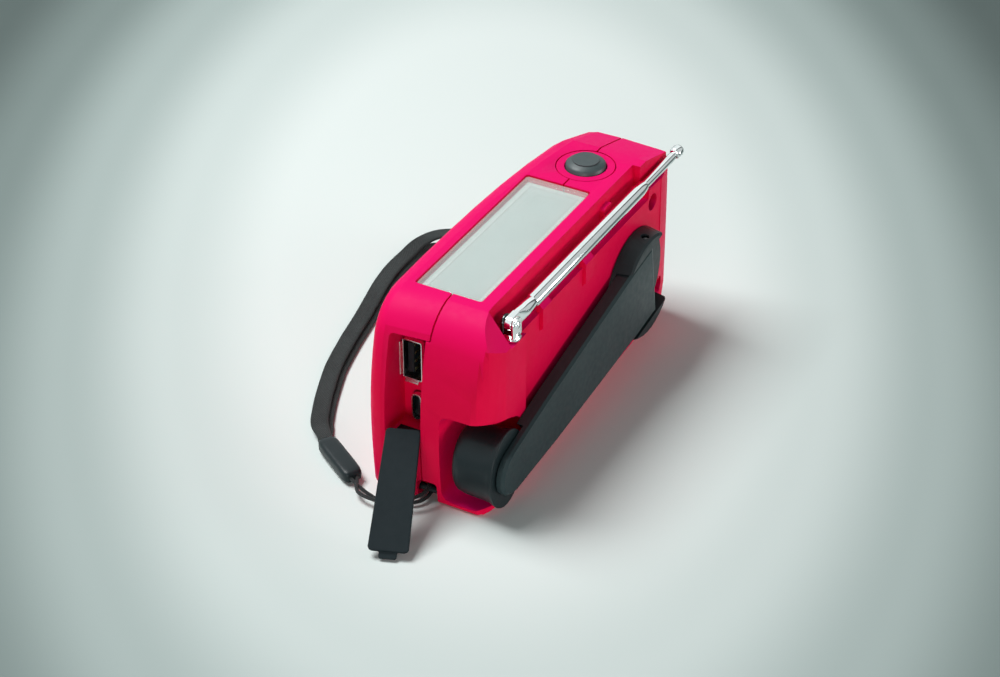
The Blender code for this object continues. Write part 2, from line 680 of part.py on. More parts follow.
def torch_cutters():
    outer = guide(prism(
        rounded(-TORCH_HALF_WIDTH, TORCH_HALF_WIDTH, TORCH_HEIGHT - TORCH_HALF_HEIGHT,
                TORCH_HEIGHT + TORCH_HALF_HEIGHT, TORCH_CORNER), "X", -FAR_REACH - OVERRUN, LENS_SEAT_X))
    inner_width = TORCH_HALF_WIDTH - LENS_LEDGE
    inner_height = TORCH_HALF_HEIGHT - LENS_LEDGE
    inner = guide(prism(
        rounded(-inner_width, inner_width, TORCH_HEIGHT - inner_height, TORCH_HEIGHT + inner_height,
                TORCH_CORNER),
        "X", -FAR_REACH - OVERRUN, FAR_CAVITY_X + OVERRUN))
    return [outer, inner]


# Near end: port recess with its two socket holes, and the notch of the wrist strap
PORT_CORNER = 0.0010
USB_A_Y = BOARD_REAR_Y + FIT + USB_A_THICKNESS / 2
USB_C_Y = -0.0068
NOTCH_FRONT_Y = -0.0025
NOTCH_REAR_Y = 0.0036
NOTCH_TOP = 0.0070
NOTCH_X = 0.0520
NOTCH_CORNER = 0.0010
LANYARD_PIN_RADIUS = 0.0010
LANYARD_PIN_X = 0.0568
LANYARD_PIN_HEIGHT = 0.0034
LANYARD_PIN_SEAT = 0.0012
port_recess = guide(prism(
    rounded(PORT_FRONT_Y, OVERRUN + PORT_CORNER, PORT_LOW, PORT_HIGH, PORT_CORNER, 2), "X",
    PORT_FLOOR_X, NEAR_REACH + FRONT_DEPTH,
))
usb_a_hole = guide(prism(
    rectangle(USB_A_Y - USB_A_THICKNESS / 2 - FIT, USB_A_Y + USB_A_THICKNESS / 2 + FIT,
              USB_A_HEIGHT - USB_A_WIDTH / 2 - FIT, USB_A_HEIGHT + USB_A_WIDTH / 2 + FIT), "X",
    PORT_WALL_X - OVERRUN, PORT_FLOOR_X + OVERRUN,
))
usb_c_hole = guide(prism(
    rounded(USB_C_Y - USB_C_THICKNESS / 2 - FIT, USB_C_Y + USB_C_THICKNESS / 2 + FIT,
            USB_C_HEIGHT - USB_C_WIDTH / 2 - FIT, USB_C_HEIGHT + USB_C_WIDTH / 2 + FIT,
            USB_C_THICKNESS / 2, 4), "X", PORT_WALL_X - OVERRUN, PORT_FLOOR_X + OVERRUN,
))


def strap_cutters():
    notch = guide(prism(
        rounded(NOTCH_FRONT_Y, NOTCH_REAR_Y, -OVERRUN - NOTCH_CORNER, NOTCH_TOP, NOTCH_CORNER, 2), "X",
        NOTCH_X, NEAR_REACH + FRONT_DEPTH))
    pin_seat = guide(drum("Y", LANYARD_PIN_X, LANYARD_PIN_HEIGHT, LANYARD_PIN_RADIUS + FIT,
                          NOTCH_FRONT_Y - LANYARD_PIN_SEAT - FIT, NOTCH_REAR_Y + LANYARD_PIN_SEAT,
                          SMALL_STEPS))
    return [notch, pin_seat]


# Screw pillars: a counterbored pillar in the rear shell over a boss in the front shell
PILLAR_RADIUS = 0.0034
SCREW_HEAD_RADIUS = 0.0024
SCREW_SHANK_RADIUS = 0.0012
SCREW_SEAT_Y = 0.0060
SCREW_HEAD_HEIGHT = 0.0016
SCREW_REACH = 0.0090
BOSS_GAP = FIT
pillars = []
bosses = []
rear_screw_cuts = []
front_screw_cuts = []
for screw_x, screw_height in SCREW_PLACES:
    pillars.append(guide(drum("Y", screw_x, screw_height, PILLAR_RADIUS, REAR_LIMIT_Y + FIT,
                              REAR_PANEL_INNER_Y + FIT, 16)))
    bosses.append(guide(drum("Y", screw_x, screw_height, PILLAR_RADIUS,
                             front_sag(screw_x) - FRONT_DEPTH + WALL / 2, FRONT_LIMIT_Y - FIT, 16)))
    rear_screw_cuts.append(guide(drum("Y", screw_x, screw_height, SCREW_HEAD_RADIUS + FIT, SCREW_SEAT_Y,
                                      OUTSIDE_Y, 16)))
    rear_screw_cuts.append(guide(drum("Y", screw_x, screw_height, SCREW_SHANK_RADIUS + FIT, -OVERRUN,
                                      SCREW_SEAT_Y + OVERRUN, SMALL_STEPS)))
    front_screw_cuts.append(guide(drum("Y", screw_x, screw_height, SCREW_SHANK_RADIUS + FIT,
                                       SCREW_SEAT_Y - SCREW_REACH - FIT, OVERRUN, SMALL_STEPS)))

# Front face: loudspeaker grille, and holes of the controls
GRILLE_RADIUS = 0.0150
GRILLE_SLOTS = 7
GRILLE_PITCH = 0.0040
GRILLE_SLOT_HALF = 0.0008
DIAL_RADIUS = 0.0160
DIAL_THICKNESS = 0.0008
DIAL_SINK = 0.0008
KNOB_STEM_RADIUS = 0.0030
VOLUME_STEM_RADIUS = 0.0022
SWITCH_X = 0.0210
SWITCH_HEIGHT = 0.0095
SWITCH_TRAVEL = 0.0030
SWITCH_LEG_HALF_LENGTH = 0.0014
SWITCH_LEG_HALF_HEIGHT = 0.0010
LIGHT_X = -0.0020
LIGHT_HEIGHT = 0.0500
LIGHT_RADIUS = 0.0015
front_outer = -FRONT_DEPTH - OVERRUN
front_inner = FRONT_INNER_Y + INNER_CHAMFER
grille = []
for k in range(GRILLE_SLOTS):
    offset = (k - (GRILLE_SLOTS - 1) / 2) * GRILLE_PITCH
    half = sqrt(GRILLE_RADIUS ** 2 - offset ** 2)
    slot_height = SPEAKER_HEIGHT + offset
    grille.append(guide(prism(
        rounded(SPEAKER_X - half, SPEAKER_X + half, slot_height - GRILLE_SLOT_HALF,
                slot_height + GRILLE_SLOT_HALF, GRILLE_SLOT_HALF, 2), "Y", front_outer, front_inner)))
dial_seat = guide(drum("Y", TUNING_X, TUNING_HEIGHT, DIAL_RADIUS + FIT, front_outer,
                       -FRONT_DEPTH + DIAL_SINK, 32))
tuning_hole = guide(drum("Y", TUNING_X, TUNING_HEIGHT, KNOB_STEM_RADIUS + FIT, front_outer, front_inner, 16))
volume_hole = guide(drum("Y", VOLUME_X, VOLUME_HEIGHT, VOLUME_STEM_RADIUS + FIT, front_outer, front_inner,
                         16))
light_hole = guide(drum("Y", LIGHT_X, LIGHT_HEIGHT, LIGHT_RADIUS + FIT, front_outer, front_inner,
                        SMALL_STEPS))
switch_slot = guide(prism(
    rectangle(SWITCH_X - SWITCH_LEG_HALF_LENGTH - FIT,
              SWITCH_X + SWITCH_LEG_HALF_LENGTH + SWITCH_TRAVEL + FIT,
              SWITCH_HEIGHT - SWITCH_LEG_HALF_HEIGHT - FIT, SWITCH_HEIGHT + SWITCH_LEG_HALF_HEIGHT + FIT),
    "Y", front_outer, front_inner,
))

# Stand-offs that carry the circuit board and the switch of the button
BOARD_FRONT_Y = BOARD_REAR_Y - BOARD_THICKNESS
STANDOFF_RADIUS = 0.0020
FAR_STANDOFF_X = 0.0060
FAR_STANDOFF_HEIGHT = 0.0500
NEAR_STANDOFF_X = 0.0410
NEAR_STANDOFF_HEIGHT = 0.0085
SWITCH_BOARD_HALF_LENGTH = 0.0060
SWITCH_BOARD_HALF_WIDTH = 0.0085
SWITCH_BOARD_TOP = 0.0492
SWITCH_BOARD_THICKNESS = 0.0012
HANGER_RADIUS = 0.0013
HANGER_SPREAD = 0.0043
HANGER_Y = -0.0062
standoffs = []
for spot_x, spot_height in ((FAR_STANDOFF_X, FAR_STANDOFF_HEIGHT), (NEAR_STANDOFF_X, NEAR_STANDOFF_HEIGHT)):
    standoffs.append(guide(drum("Y", spot_x, spot_height, STANDOFF_RADIUS,
                                front_sag(spot_x) - FRONT_DEPTH + WALL / 2, BOARD_FRONT_Y - FIT,
                                SMALL_STEPS)))
for side in (-1, 1):
    standoffs.append(guide(drum("Z", BUTTON_X + side * HANGER_SPREAD, HANGER_Y, HANGER_RADIUS,
                                SWITCH_BOARD_TOP + FIT, CAVITY_TOP + FIT, 8)))

# Bearing of the crank in the back panel
SHAFT_RADIUS = 0.0040
shaft_hole = guide(drum("Y", HUB_X, HUB_HEIGHT, SHAFT_RADIUS + FIT, SCREW_SEAT_Y, OUTSIDE_Y))

cut(front_shell, front_cavity)
fuse(front_shell, *bosses, *standoffs)
cut(front_shell, front_step, port_recess, usb_a_hole, usb_c_hole, dial_seat, tuning_hole, volume_hole,
    light_hole, switch_slot,
    wire_hole, *top_cutters(), *torch_cutters(), *strap_cutters(), *front_screw_cuts, *grille)
cut(rear_shell, rear_cavity, rear_deep_cavity, rear_step)
fuse(rear_shell, *pillars)
cut(rear_shell, knob_pocket, flange_room, back_recess, channel, antenna_notch, near_shelf, antenna_socket,
    shaft_hole,
    *top_cutters(), *torch_cutters(), *strap_cutters(), *rear_screw_cuts)
fuse(rear_shell, *rests, nub)

# Case screws
screw_tip = SCREW_SEAT_Y - SCREW_REACH
for number, (screw_x, screw_height) in enumerate(SCREW_PLACES, 1):
    head_low = SCREW_SEAT_Y + FIT
    head_top = head_low + SCREW_HEAD_HEIGHT
    solid("case_screw_%d" % number, turned(
        [(0.0, screw_tip), (SCREW_SHANK_RADIUS, screw_tip), (SCREW_SHANK_RADIUS, head_low),
         (SCREW_HEAD_RADIUS, head_low), (SCREW_HEAD_RADIUS, head_top), (0.0, head_top)],
        "Y", screw_x, screw_height, SMALL_STEPS), PLAIN_STEEL)

# Solar panel: clear cover over the cell
solid("solar_cover", prism(
    rounded(PANEL_FAR_X, PANEL_NEAR_X, PANEL_Y - PANEL_HALF, PANEL_Y + PANEL_HALF, PANEL_CORNER, 2), "Z",
    COVER_LOW, COVER_TOP), CLEAR_COVER)
CELL_MARGIN = 0.0007
solid("solar_cell", prism(
    rectangle(PANEL_FAR_X + CELL_MARGIN, PANEL_NEAR_X - CELL_MARGIN, PANEL_Y - PANEL_HALF + CELL_MARGIN,
              PANEL_Y + PANEL_HALF - CELL_MARGIN), "Z", CELL_LOW, CELL_TOP), CELL_SILVER)

# Torch button: a domed rubber cap in a ring, over its switch
RING_TOP = BODY_HEIGHT
solid("button_ring", turned(
    [(BUTTON_HOLE_RADIUS, BODY_HEIGHT - RING_DEPTH), (BUTTON_RING_RADIUS, BODY_HEIGHT - RING_DEPTH),
     (BUTTON_RING_RADIUS, RING_TOP), (BUTTON_HOLE_RADIUS, RING_TOP)], "Z", BUTTON_X, BUTTON_Y, 32),
     CASING_PINK)
BUTTON_RISE = 0.0020
BUTTON_LOW = CAVITY_TOP - FIT
BUTTON_SHOULDER = 0.0012
BUTTON_FACE_RADIUS = 0.0040
BUTTON_FACE_RISE = 0.0003
BUTTON_DOME_SHARES = (1.0, 0.93, 0.82, 0.66)
STEM_RADIUS = 0.0020
STEM_LENGTH = 0.0022
button_top = BODY_HEIGHT + BUTTON_RISE
dome = [(0.0, BUTTON_LOW - STEM_LENGTH), (STEM_RADIUS, BUTTON_LOW - STEM_LENGTH), (STEM_RADIUS, BUTTON_LOW),
        (BUTTON_RADIUS, BUTTON_LOW)]
for k, share in enumerate(BUTTON_DOME_SHARES):
    step_share = k / (len(BUTTON_DOME_SHARES) - 1)
    dome.append((BUTTON_RADIUS * share, button_top - BUTTON_SHOULDER * (1 - step_share)))
dome += [(BUTTON_FACE_RADIUS, button_top), (BUTTON_FACE_RADIUS, button_top + BUTTON_FACE_RISE),
         (0.0, button_top + BUTTON_FACE_RISE)]
solid("torch_button", turned(dome, "Z", BUTTON_X, BUTTON_Y), BUTTON_RUBBER,
      origin=(BUTTON_X, BUTTON_Y, BODY_HEIGHT))
SWITCH_BOX_HALF = 0.0030
SWITCH_BOX_HEIGHT = 0.0028
button_switch = solid("button_switch", prism(
    rectangle(BUTTON_X - SWITCH_BOARD_HALF_LENGTH, BUTTON_X + SWITCH_BOARD_HALF_LENGTH,
              BUTTON_Y - SWITCH_BOARD_HALF_WIDTH, BUTTON_Y + SWITCH_BOARD_HALF_WIDTH), "Z",
    SWITCH_BOARD_TOP - SWITCH_BOARD_THICKNESS, SWITCH_BOARD_TOP), BLACK_PLASTIC)
fuse(button_switch, guide(prism(
    rectangle(BUTTON_X - SWITCH_BOX_HALF, BUTTON_X + SWITCH_BOX_HALF, BUTTON_Y - SWITCH_BOX_HALF,
              BUTTON_Y + SWITCH_BOX_HALF), "Z", SWITCH_BOARD_TOP - FIT,
              SWITCH_BOARD_TOP + SWITCH_BOX_HEIGHT)))

# Torch: lens, reflector with three cups, board with three diodes
lens_low = LENS_SEAT_X - FIT - LENS_THICKNESS
lens_width = TORCH_HALF_WIDTH - FIT
lens_height = TORCH_HALF_HEIGHT - FIT
solid("torch_lens", prism(
    rounded(-lens_width, lens_width, TORCH_HEIGHT - lens_height, TORCH_HEIGHT + lens_height,
            TORCH_CORNER - FIT),
    "X", lens_low, LENS_SEAT_X - FIT), CLEAR_COVER)
REFLECTOR_DEPTH = 0.0060
REFLECTOR_HALF_WIDTH = 0.0100
REFLECTOR_HALF_HEIGHT = 0.0100
CUP_MOUTH_RADIUS = 0.0042
CUP_THROAT_RADIUS = 0.0018
CUP_RING_RADIUS = 0.0050
DIODE_RADIUS = 0.0015
reflector_near = FAR_CAVITY_X + FIT + REFLECTOR_DEPTH
reflector_far = FAR_CAVITY_X + FIT
torch_reflector = solid("torch_reflector", prism(
    rounded(-REFLECTOR_HALF_WIDTH, REFLECTOR_HALF_WIDTH, TORCH_HEIGHT - REFLECTOR_HALF_HEIGHT,
            TORCH_HEIGHT + REFLECTOR_HALF_HEIGHT, TORCH_CORNER / 2), "X", reflector_far, reflector_near),
    REFLECTOR_CHROME)
TORCH_BOARD_THICKNESS = 0.0014
torch_board_far = reflector_near + FIT
torch_board = solid("torch_board", prism(
    rounded(-REFLECTOR_HALF_WIDTH, REFLECTOR_HALF_WIDTH, TORCH_HEIGHT - REFLECTOR_HALF_HEIGHT,
            TORCH_HEIGHT + REFLECTOR_HALF_HEIGHT, TORCH_CORNER / 2), "X", torch_board_far,
    torch_board_far + TORCH_BOARD_THICKNESS), BOARD_GREEN)
board_sides = (-REFLECTOR_HALF_WIDTH - OVERRUN, REFLECTOR_HALF_WIDTH + OVERRUN)
cut(torch_board,
    guide(drum("Y", TOP_SCREW_X, TOP_SCREW_HEIGHT, PILLAR_RADIUS + FIT, *board_sides, SMALL_STEPS)),
    guide(drum("Y", FOOT_SCREW_X, FOOT_SCREW_HEIGHT, PILLAR_RADIUS + FIT, *board_sides, SMALL_STEPS)))
DIODE_LENGTH = 0.0042
cups = []
for number in range(3):
    angle = pi / 2 + 2 * pi * number / 3
    cup_y = CUP_RING_RADIUS * cos(angle)
    cup_height = TORCH_HEIGHT + CUP_RING_RADIUS * sin(angle)
    cups.append(guide(turned(
        [(0.0, reflector_far - OVERRUN), (CUP_MOUTH_RADIUS, reflector_far - OVERRUN),
         (CUP_MOUTH_RADIUS, reflector_far), (CUP_THROAT_RADIUS, reflector_near - OVERRUN / 2),
         (CUP_THROAT_RADIUS, reflector_near + OVERRUN), (0.0, reflector_near + OVERRUN)],
        "X", cup_y, cup_height, 16)))
    diode_foot = torch_board_far - FIT
    solid("torch_diode_%d" % (number + 1), turned(
        [(0.0, diode_foot), (DIODE_RADIUS, diode_foot),
         (DIODE_RADIUS, diode_foot - DIODE_LENGTH + DIODE_RADIUS),
         (DIODE_RADIUS * cos(pi / 4), diode_foot - DIODE_LENGTH + DIODE_RADIUS * (1 - sin(pi / 4))),
         (0.0, diode_foot - DIODE_LENGTH)], "X", cup_y, cup_height, SMALL_STEPS), LED_WHITE)
cut(torch_reflector, *cups)

# Loudspeaker: basket, cone and magnet
BASKET_RIM = 0.0015
BASKET_DEPTH = 0.0078
BASKET_THROAT = 0.0100
BASKET_SKIN = 0.0010
CONE_RADIUS = 0.0156
CONE_SKIN = 0.0006
CONE_DEPTH = 0.0046
CONE_THROAT = 0.0050
CAP_RISE = 0.0014
CAP_SHOULDER_SHARE = 0.75
SPEAKER_SEAT = 0.0011
MAGNET_RADIUS = 0.0090
MAGNET_HEIGHT = 0.0050
rim_front = front_sag(SPEAKER_X - SPEAKER_RADIUS) - FRONT_DEPTH + WALL + SPEAKER_SEAT
rim_rear = rim_front + BASKET_RIM
basket_rear = rim_front + BASKET_DEPTH
solid("speaker_basket", turned(
    [(SPEAKER_RADIUS, rim_front), (SPEAKER_RADIUS, rim_rear), (CONE_RADIUS + BASKET_SKIN, rim_rear),
     (BASKET_THROAT, basket_rear), (CONE_THROAT, basket_rear), (CONE_THROAT, basket_rear - BASKET_SKIN),
     (BASKET_THROAT - BASKET_SKIN, basket_rear - BASKET_SKIN), (CONE_RADIUS + FIT, rim_front + BASKET_SKIN),
     (CONE_RADIUS + FIT, rim_front)], "Y", SPEAKER_X, SPEAKER_HEIGHT, 28), PLAIN_STEEL)
cone_rear = rim_front + CONE_DEPTH
solid("speaker_cone", turned(
    [(0.0, cone_rear - CAP_RISE), (CONE_THROAT / 2, cone_rear - CAP_RISE * CAP_SHOULDER_SHARE),
     (CONE_THROAT, cone_rear),
     (CONE_RADIUS, rim_front), (CONE_RADIUS, rim_front + CONE_SKIN),
     (CONE_THROAT + CONE_SKIN, cone_rear + CONE_SKIN),
     (CONE_THROAT - CONE_SKIN, cone_rear + CONE_SKIN),
     (CONE_THROAT / 2, cone_rear + CONE_SKIN - CAP_RISE * CAP_SHOULDER_SHARE),
     (0.0, cone_rear + CONE_SKIN - CAP_RISE)],
    "Y", SPEAKER_X, SPEAKER_HEIGHT, 28), CONE_PAPER)
magnet_front = basket_rear + FIT
solid("speaker_magnet", drum("Y", SPEAKER_X, SPEAKER_HEIGHT, MAGNET_RADIUS, magnet_front,
                             magnet_front + MAGNET_HEIGHT), PLAIN_STEEL)

# Front controls: dial plate, tuning and volume knobs, band switch, charge light
dial_rear = -FRONT_DEPTH + DIAL_SINK - FIT
dial_front = dial_rear - DIAL_THICKNESS
solid("dial_plate", turned(
    [(KNOB_STEM_RADIUS + FIT, dial_rear), (DIAL_RADIUS, dial_rear), (DIAL_RADIUS, dial_front),
     (KNOB_STEM_RADIUS + FIT, dial_front)], "Y", TUNING_X, TUNING_HEIGHT, 32), DIAL_GREY)
TUNING_KNOB_RADIUS = 0.0090
VOLUME_KNOB_RADIUS = 0.0060
KNOB_THICKNESS = 0.0034
KNOB_EDGE = 0.0006
TUNING_STEM_END = -0.0050
VOLUME_STEM_END = -0.0060
CAPACITOR_REAR = -0.0030
CAPACITOR_HALF = 0.0080
CONTROL_REAR = -0.0045
CONTROL_HALF = 0.0050


def control_knob(name, x, height, radius, stem_radius, back, stem_end, ribs):
    """A fluted knob with its stem; ribs is the count of grip flutes."""
    front = back - KNOB_THICKNESS
    outline = []
    for k in range(ribs * 2):
        reach = radius if k % 2 == 0 else radius - KNOB_EDGE
        angle = pi * k / ribs
        outline.append((reach * cos(angle), reach * sin(angle)))
    rings = []
    for depth, share in ((back, 1.0), (front + KNOB_EDGE, 1.0), (front, 1 - KNOB_EDGE / radius)):
        rings.append([Vector((x + a * share, depth, height + b * share)) for a, b in outline])
    item = solid(name, skin(rings), BLACK_PLASTIC)
    fuse(item, guide(drum("Y", x, height, stem_radius, back - KNOB_THICKNESS / 2, stem_end, 16)))
    return item


control_knob("tuning_knob", TUNING_X, TUNING_HEIGHT, TUNING_KNOB_RADIUS, KNOB_STEM_RADIUS, dial_front - FIT,
             TUNING_STEM_END, 16)
control_knob("volume_knob", VOLUME_X, VOLUME_HEIGHT, VOLUME_KNOB_RADIUS, VOLUME_STEM_RADIUS,
             -FRONT_DEPTH - FIT,
             VOLUME_STEM_END, 12)


def control_body(name, x, height, half, stem_radius, rear):
    item = solid(name, prism(rectangle(x - half, x + half, height - half, height + half), "Y",
                             BOARD_REAR_Y + FIT, rear), BLACK_PLASTIC)
    cut(item, guide(drum("Y", x, height, stem_radius + FIT, BOARD_REAR_Y - OVERRUN, rear + OVERRUN, 16)))
    return item


control_body("tuning_capacitor", TUNING_X, TUNING_HEIGHT, CAPACITOR_HALF, KNOB_STEM_RADIUS, CAPACITOR_REAR)
control_body("volume_control", VOLUME_X, VOLUME_HEIGHT, CONTROL_HALF, VOLUME_STEM_RADIUS, CONTROL_REAR)
SWITCH_CAP_HALF_LENGTH = 0.0035
SWITCH_CAP_HALF_HEIGHT = 0.0018
SWITCH_CAP_THICKNESS = 0.0013
SWITCH_BODY_HALF_LENGTH = 0.0060
SWITCH_BODY_HALF_HEIGHT = 0.0024
SWITCH_BODY_THICKNESS = 0.0032
switch_body_front = BOARD_FRONT_Y - FIT - SWITCH_BODY_THICKNESS
cap_rear = -FRONT_DEPTH - FIT
band_switch = solid("band_switch", prism(
    rectangle(SWITCH_X - SWITCH_CAP_HALF_LENGTH, SWITCH_X + SWITCH_CAP_HALF_LENGTH,
              SWITCH_HEIGHT - SWITCH_CAP_HALF_HEIGHT, SWITCH_HEIGHT + SWITCH_CAP_HALF_HEIGHT), "Y",
    cap_rear - SWITCH_CAP_THICKNESS, cap_rear), BLACK_PLASTIC)
fuse(band_switch, guide(prism(
    rectangle(SWITCH_X - SWITCH_LEG_HALF_LENGTH, SWITCH_X + SWITCH_LEG_HALF_LENGTH,
              SWITCH_HEIGHT - SWITCH_LEG_HALF_HEIGHT, SWITCH_HEIGHT + SWITCH_LEG_HALF_HEIGHT), "Y",
    cap_rear - SWITCH_CAP_THICKNESS / 2, switch_body_front - FIT)))
switch_middle = SWITCH_X + SWITCH_TRAVEL / 2
solid("switch_body", prism(
    rectangle(switch_middle - SWITCH_BODY_HALF_LENGTH, switch_middle + SWITCH_BODY_HALF_LENGTH,
              SWITCH_HEIGHT - SWITCH_BODY_HALF_HEIGHT, SWITCH_HEIGHT + SWITCH_BODY_HALF_HEIGHT), "Y",
    switch_body_front, BOARD_FRONT_Y - FIT), PLAIN_STEEL)
light_front = -FRONT_DEPTH - LIGHT_RADIUS / 3
light_rear = BOARD_FRONT_Y - FIT
solid("charge_light", turned(
    [(0.0, light_front), (LIGHT_RADIUS * cos(pi / 4), light_front + LIGHT_RADIUS * (1 - sin(pi / 4))),
     (LIGHT_RADIUS, light_front + LIGHT_RADIUS), (LIGHT_RADIUS, light_rear), (0.0, light_rear)],
    "Y", LIGHT_X, LIGHT_HEIGHT, SMALL_STEPS), LED_RED)

# Circuit board
BOARD_FAR_X = -0.0050
BOARD_NEAR_X = 0.0465
BOARD_LOW = 0.0050
BOARD_HIGH = 0.0550
CHIP_HALF = 0.0040
CHIP_HEIGHT = 0.0012
CHIP_X = 0.0065
CHIP_UP = 0.0300
circuit_board = solid("circuit_board", prism(
    rectangle(BOARD_FAR_X, BOARD_NEAR_X, BOARD_LOW, BOARD_HIGH), "Y", BOARD_FRONT_Y, BOARD_REAR_Y),
    BOARD_GREEN)
fuse(circuit_board, guide(prism(
    rectangle(CHIP_X - CHIP_HALF, CHIP_X + CHIP_HALF, CHIP_UP - CHIP_HALF, CHIP_UP + CHIP_HALF), "Y",
    BOARD_REAR_Y - FIT, BOARD_REAR_Y + CHIP_HEIGHT)))
board_through = (BOARD_FRONT_Y - OVERRUN, BOARD_REAR_Y + OVERRUN)
cut(circuit_board,
    guide(drum("Y", TUNING_X, TUNING_HEIGHT, KNOB_STEM_RADIUS + FIT, *board_through, 16)),
    guide(drum("Y", VOLUME_X, VOLUME_HEIGHT, VOLUME_STEM_RADIUS + FIT, *board_through, 16)),
    guide(drum("Y", NEAR_SCREW_X, NEAR_SCREW_HEIGHT, PILLAR_RADIUS + FIT, *board_through, 16)))

# Battery in its tray on the rear shell
BATTERY_X = 0.0212
BATTERY_HEIGHT = 0.0275
BATTERY_HALF_WIDTH = 0.0066
BATTERY_HALF_HEIGHT = 0.0180
BATTERY_THICKNESS = 0.0080
TRAY_SKIN = 0.0010
TRAY_DEPTH = 0.0050
tray_rear = REAR_PANEL_INNER_Y - FIT
tray_width = BATTERY_HALF_WIDTH + FIT + TRAY_SKIN
tray_height = BATTERY_HALF_HEIGHT + FIT + TRAY_SKIN
battery_rear = tray_rear - TRAY_SKIN - FIT
battery_holder = solid("battery_holder", prism(
    rectangle(BATTERY_X - tray_width, BATTERY_X + tray_width, BATTERY_HEIGHT - tray_height,
              BATTERY_HEIGHT + tray_height), "Y", tray_rear - TRAY_DEPTH, tray_rear), BLACK_PLASTIC)
cut(battery_holder, guide(prism(
    rectangle(BATTERY_X - BATTERY_HALF_WIDTH - FIT, BATTERY_X + BATTERY_HALF_WIDTH + FIT,
              BATTERY_HEIGHT - BATTERY_HALF_HEIGHT - FIT, BATTERY_HEIGHT + BATTERY_HALF_HEIGHT + FIT), "Y",
    tray_rear - TRAY_DEPTH - OVERRUN, tray_rear - TRAY_SKIN)))
solid("battery_cell", prism(
    rounded(BATTERY_X - BATTERY_HALF_WIDTH, BATTERY_X + BATTERY_HALF_WIDTH,
            BATTERY_HEIGHT - BATTERY_HALF_HEIGHT,
            BATTERY_HEIGHT + BATTERY_HALF_HEIGHT, TRAY_SKIN, 2), "Y", battery_rear - BATTERY_THICKNESS,
    battery_rear), BATTERY_WRAP)


# Crank: local frame with its x along the arm, z across it and its origin on the hub's axis
crank_slope = atan2(HUB_HEIGHT - HANDLE_HEIGHT, HANDLE_X - HUB_X)
crank_place = Matrix.Translation((HUB_X, 0.0, HUB_HEIGHT)) @ Matrix.Rotation(crank_slope, 4, "Y")
CRANK_REACH = hypot(HUB_HEIGHT - HANDLE_HEIGHT, HANDLE_X - HUB_X)
hub_origin = (HUB_X, PANEL_RECESS_Y, HUB_HEIGHT)
HUB_FLOOR = 0.0012
EAR_HEIGHT = 0.0047
SHAFT_JOURNAL_RADIUS = 0.0030
SHAFT_STEP_Y = 0.0123
SHAFT_END_Y = 0.0046
HUB_EDGE = 0.0006
HUB_SCREW_BORE = 0.0015
HUB_SCREW_DEPTH = 0.0060
ARM_PIN_RADIUS = 0.0010
hub_low = PANEL_RECESS_Y + FIT
hub_floor = hub_low + HUB_FLOOR
ear_top = hub_floor + EAR_HEIGHT
arm_inner = hub_floor + FIT
arm_outer = arm_inner + ARM_THICKNESS
arm_pin_y = (arm_inner + arm_outer) / 2
crank_hub = solid("crank_hub", turned(
    [(0.0, SHAFT_END_Y), (SHAFT_JOURNAL_RADIUS, SHAFT_END_Y), (SHAFT_JOURNAL_RADIUS, SHAFT_STEP_Y),
     (SHAFT_RADIUS, SHAFT_STEP_Y), (SHAFT_RADIUS, hub_low), (HUB_RADIUS, hub_low),
     (HUB_EAR_RADIUS, ear_top - HUB_EDGE), (HUB_EAR_RADIUS - HUB_EDGE, ear_top), (0.0, ear_top)],
    "Y", 0.0, 0.0, 36), BLACK_PLASTIC, place=crank_place, origin=hub_origin)
cut(crank_hub,
    guide(prism(rectangle(-HUB_RADIUS - OVERRUN, HUB_RADIUS + OVERRUN, -ARM_HALF_WIDTH - FIT,
                          ARM_HALF_WIDTH + FIT),
                "Y", hub_floor, ear_top + OVERRUN), crank_place),
    guide(drum("Z", -ARM_PIN_SET_BACK, arm_pin_y, ARM_PIN_RADIUS + FIT, -HUB_RADIUS - OVERRUN,
               HUB_RADIUS + OVERRUN, SMALL_STEPS), crank_place),
    guide(drum("Y", 0.0, 0.0, HUB_SCREW_BORE, SHAFT_END_Y - OVERRUN, SHAFT_END_Y + HUB_SCREW_DEPTH,
               SMALL_STEPS),
          crank_place))

# Crank arm: tapered plate with a barrel round the pin
ARM_TIP_RADIUS = 0.0071
ARM_MIDDLE_SHARE = 0.72
ARM_MIDDLE_WIDTH_SHARE = 0.76
ARM_EDGE = 0.0008
arm_outline = [(-ARM_PIN_SET_BACK, -ARM_HALF_WIDTH)]
arm_outline.append((HUB_RADIUS / 2, -ARM_HALF_WIDTH))
arm_outline.append((CRANK_REACH * ARM_MIDDLE_SHARE, -ARM_HALF_WIDTH * ARM_MIDDLE_WIDTH_SHARE))
for k in range(9):
    angle = -pi / 2 + pi * k / 8
    arm_outline.append((CRANK_REACH + ARM_TIP_RADIUS * cos(angle), ARM_TIP_RADIUS * sin(angle)))
arm_outline.append((CRANK_REACH * ARM_MIDDLE_SHARE, ARM_HALF_WIDTH * ARM_MIDDLE_WIDTH_SHARE))
arm_outline.append((HUB_RADIUS / 2, ARM_HALF_WIDTH))
arm_outline.append((-ARM_PIN_SET_BACK, ARM_HALF_WIDTH))


def arm_ring(depth, inset):
    """The arm's outline at one depth, drawn in along its long edges and round its tip."""
    ring = []
    for a, b in arm_outline:
        narrow = 1 - inset / ARM_HALF_WIDTH
        tip_pull = inset if a > CRANK_REACH else 0.0
        ring.append(Vector((a - tip_pull, depth, b * narrow)))
    return ring


